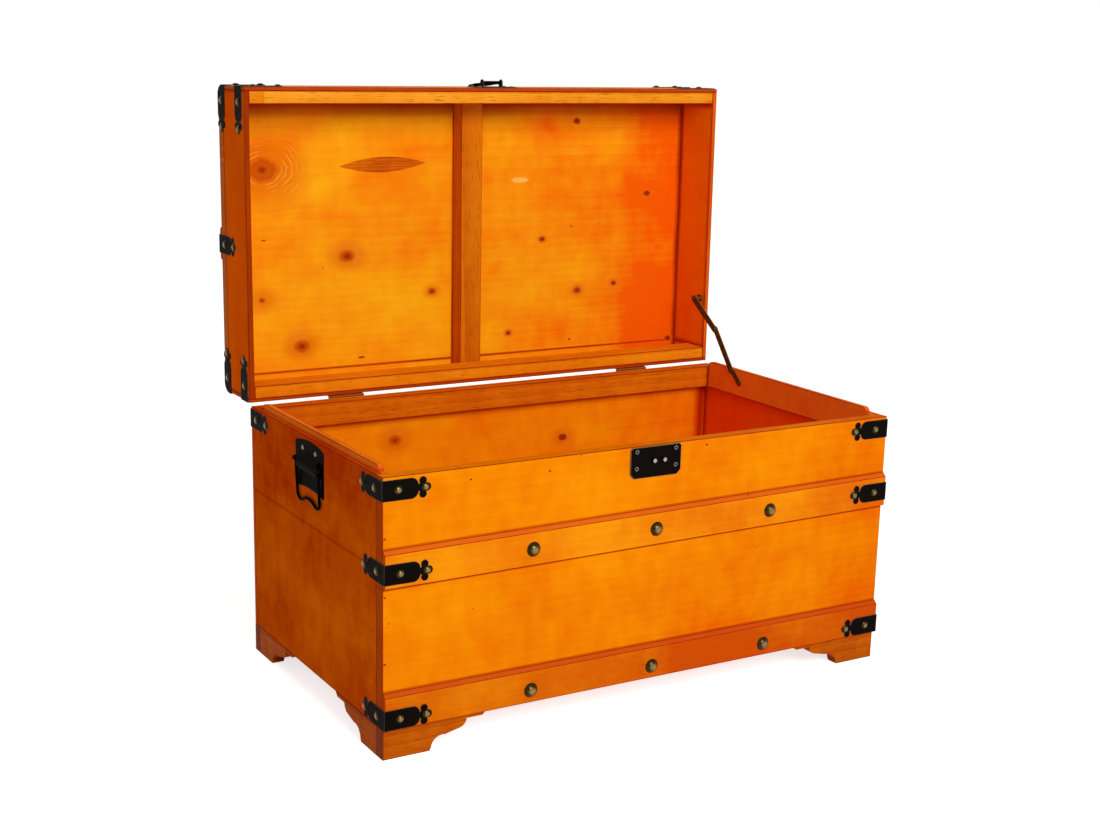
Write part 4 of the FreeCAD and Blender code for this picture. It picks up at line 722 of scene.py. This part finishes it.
# black paint brushed on iron: matt and a little brown, and worn to grey along the edges, which
# also serves as a painted highlight on the folds
black_iron = metal("black_painted_iron", "#0F0B09", "#1A1410", rough=0.5, wear=0.05,
                   metallic=0.0, shine=0.01)
worn_edge_and_highlight = metal("worn_edge_and_painted_highlight", "#6A5C50", "#7A6A5C", rough=0.45, wear=0.3,
                  metallic=0.0, shine=0.03)
for node in ("front_left_straps", "front_right_straps", "rear_straps", "lid_rim_straps",
             "lid_band_straps", "lid_top_straps", "lock_plate", "hasp_plate"):
    piece = finished_copy(node, node + "_painted", (black_iron, worn_edge_and_highlight), rub=0.55)


# The handles and the hasp's tongue: each handle is a bail of bent rod on an axle, in a plate whose
# middle is rolled round it, and the tongue swings on the hasp's pin. All are dipped in black.
def give_metal(metal_look, names):
    """Give CAD pieces, as they are, their metal."""
    for name in names:
        nodes[name].data.materials.clear()
        nodes[name].data.materials.append(metal_look)


# baked black enamel: smoother and blacker than the brushed paint, with a faint gloss
smooth_iron = metal("smooth_black_iron", "#080504", "#120E0C", rough=0.4, wear=0.08,
                    metallic=0.0, shine=0.004)
give_metal(smooth_iron, ("left_handle_plate", "right_handle_plate", "left_bail", "right_bail",
                         "handle_axles", "hasp_tongue", "hasp_pin"))

# Domed nails hold the straps and larger domed studs the bands. Both are stamped from brass that
# has darkened with age: polished where hands rub the domes, and brown round their rims, a patina
# that also serves as painted shade round each dome's edge.
antique_brass = metal("antique_brass", "#846E44", "#34280F", rough=0.24, wear=0.5)
give_metal(antique_brass, ("body_strap_nails", "band_studs", "lid_strap_nails", "lid_band_studs"))

# Hollow rivets hold the lock plate and the hasp, and small nails the handles. All are of steel
# that has lost its shine: grey, with darker rims.
dull_steel = metal("dull_steel", "#8A8078", "#6A6058", rough=0.35, wear=0.4)
give_metal(dull_steel, ("lock_rivets", "hasp_rivets", "handle_nails"))

# The folding stay is two steel links on riveted pins, between a bracket on the rail and one on the
# lid's end. Its lacquer is dark bronze, and rubbed to a paler one at the bends and rims.
bronzed_steel = metal("bronzed_steel", "#54300E", "#86602C", rough=0.45, wear=0.8,
                      metallic=0.2, shine=0.04)
give_metal(bronzed_steel, ("stay_body_bracket", "stay_lid_bracket", "stay_lower_link",
                           "stay_upper_link"))

# Two butt hinges of stamped steel, each a body leaf and a lid leaf whose knuckles are rolled round
# one pin. They are browned, which leaves them a redder colour than the stay's.
browned_steel = metal("browned_steel", "#702E10", "#9A5426", rough=0.45, wear=0.6,
                      metallic=0.2, shine=0.04)
give_metal(browned_steel, ("left_hinge_body_leaf", "left_hinge_lid_leaf", "right_hinge_body_leaf",
                           "right_hinge_lid_leaf", "hinge_pins"))

# Slotted screws of the same browned steel hold the hinges' leaves, three in each, and the stay's
# bracket on the rail. Their heads are countersunk and stand a hair proud.
head_radius, head_thick, head_round = 2.6 * mm, 0.6 * mm, 0.12 * mm
slit_wide, slit_deep = 0.7 * mm, 0.2 * mm
bpy.ops.object.select_all(action="DESELECT")
bpy.ops.mesh.primitive_cylinder_add(vertices=32, radius=head_radius, depth=head_thick)
screw_head = bpy.context.object
bpy.ops.object.select_all(action="DESELECT")
bpy.ops.mesh.primitive_cube_add(size=1, location=(0, 0, head_thick - slit_deep))
slit = bpy.context.object
slit.scale = (slit_wide, 3 * head_radius, head_thick)
bpy.ops.object.select_all(action="DESELECT")
screw_head.select_set(True)
bpy.context.view_layer.objects.active = screw_head
cut = screw_head.modifiers.new("slot", "BOOLEAN")
cut.object = slit
bpy.ops.object.modifier_apply(modifier=cut.name)
bpy.data.objects.remove(slit)
round_rim = screw_head.modifiers.new("rim", "BEVEL")
round_rim.width = head_round
round_rim.segments = 2
bpy.ops.object.modifier_apply(modifier=round_rim.name)
bpy.ops.object.shade_smooth_by_angle(angle=sharp_edge)
screw_head.data.materials.append(browned_steel)


def slotted_screws(name, body, spots, look):
    """Screw heads at spots, all facing the same way, each with its slot as it came to rest."""
    bpy.ops.object.select_all(action="DESELECT")
    heads = []
    for number, spot in enumerate(spots):
        head = bpy.data.objects.new(name, screw_head.data.copy())
        scene.collection.objects.link(head)
        twist = Matrix.Rotation(math.radians(25 + 55 * number), 4, "Z")
        turn = look.to_track_quat("Z", "Y").to_matrix().to_4x4()
        head.matrix_world = Matrix.Translation(spot) @ turn @ twist
        head.select_set(True)
        heads.append(head)
    screws = heads[0]
    bpy.context.view_layer.objects.active = screws
    if len(heads) > 1:
        bpy.ops.object.join()
    bpy.ops.object.transform_apply(location=True, rotation=True, scale=True)
    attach(screws, body)


outside, screws_apart = 100 * mm, 18 * mm
for half, look, row_in in (("body", Vector((0, 1, 0)), 7.7 * mm),
                           ("lid", Vector((0, 0, -1)), 7.4 * mm)):
    for side in ("left", "right"):
        node = "%s_hinge_%s_leaf" % (side, half)
        low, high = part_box(node)
        row = (low + high) / 2
        if half == "body":
            row.z = low.z + row_in
        else:
            row.y = high.y - row_in
        spots = []
        for shift in (-screws_apart, 0, screws_apart):
            start = row + Vector((shift, 0, 0)) + outside * look
            spots.append(nodes[node].ray_cast(start, -look)[1])
        slotted_screws(node + "_screws", nodes[node]["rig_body"], spots, look)
bracket_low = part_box("stay_body_bracket")[0]
start = bracket_low + Vector((-outside, 4.57 * mm, 4.25 * mm))
spot = nodes["stay_body_bracket"].ray_cast(start, Vector((1, 0, 0)))[1]
slotted_screws("stay_bracket_screw", "chest", [spot], Vector((-1, 0, 0)))
bpy.data.objects.remove(screw_head)

# Two posts stand on the lock plate, and the holes of the hasp's tongue drop over them. They are
# turned from steel and polished: bright, and a little darker on their rims.
bright_steel = metal("bright_steel", "#96928E", "#5A5652", rough=0.22)
give_metal(bright_steel, ("lock_posts",))

low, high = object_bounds()
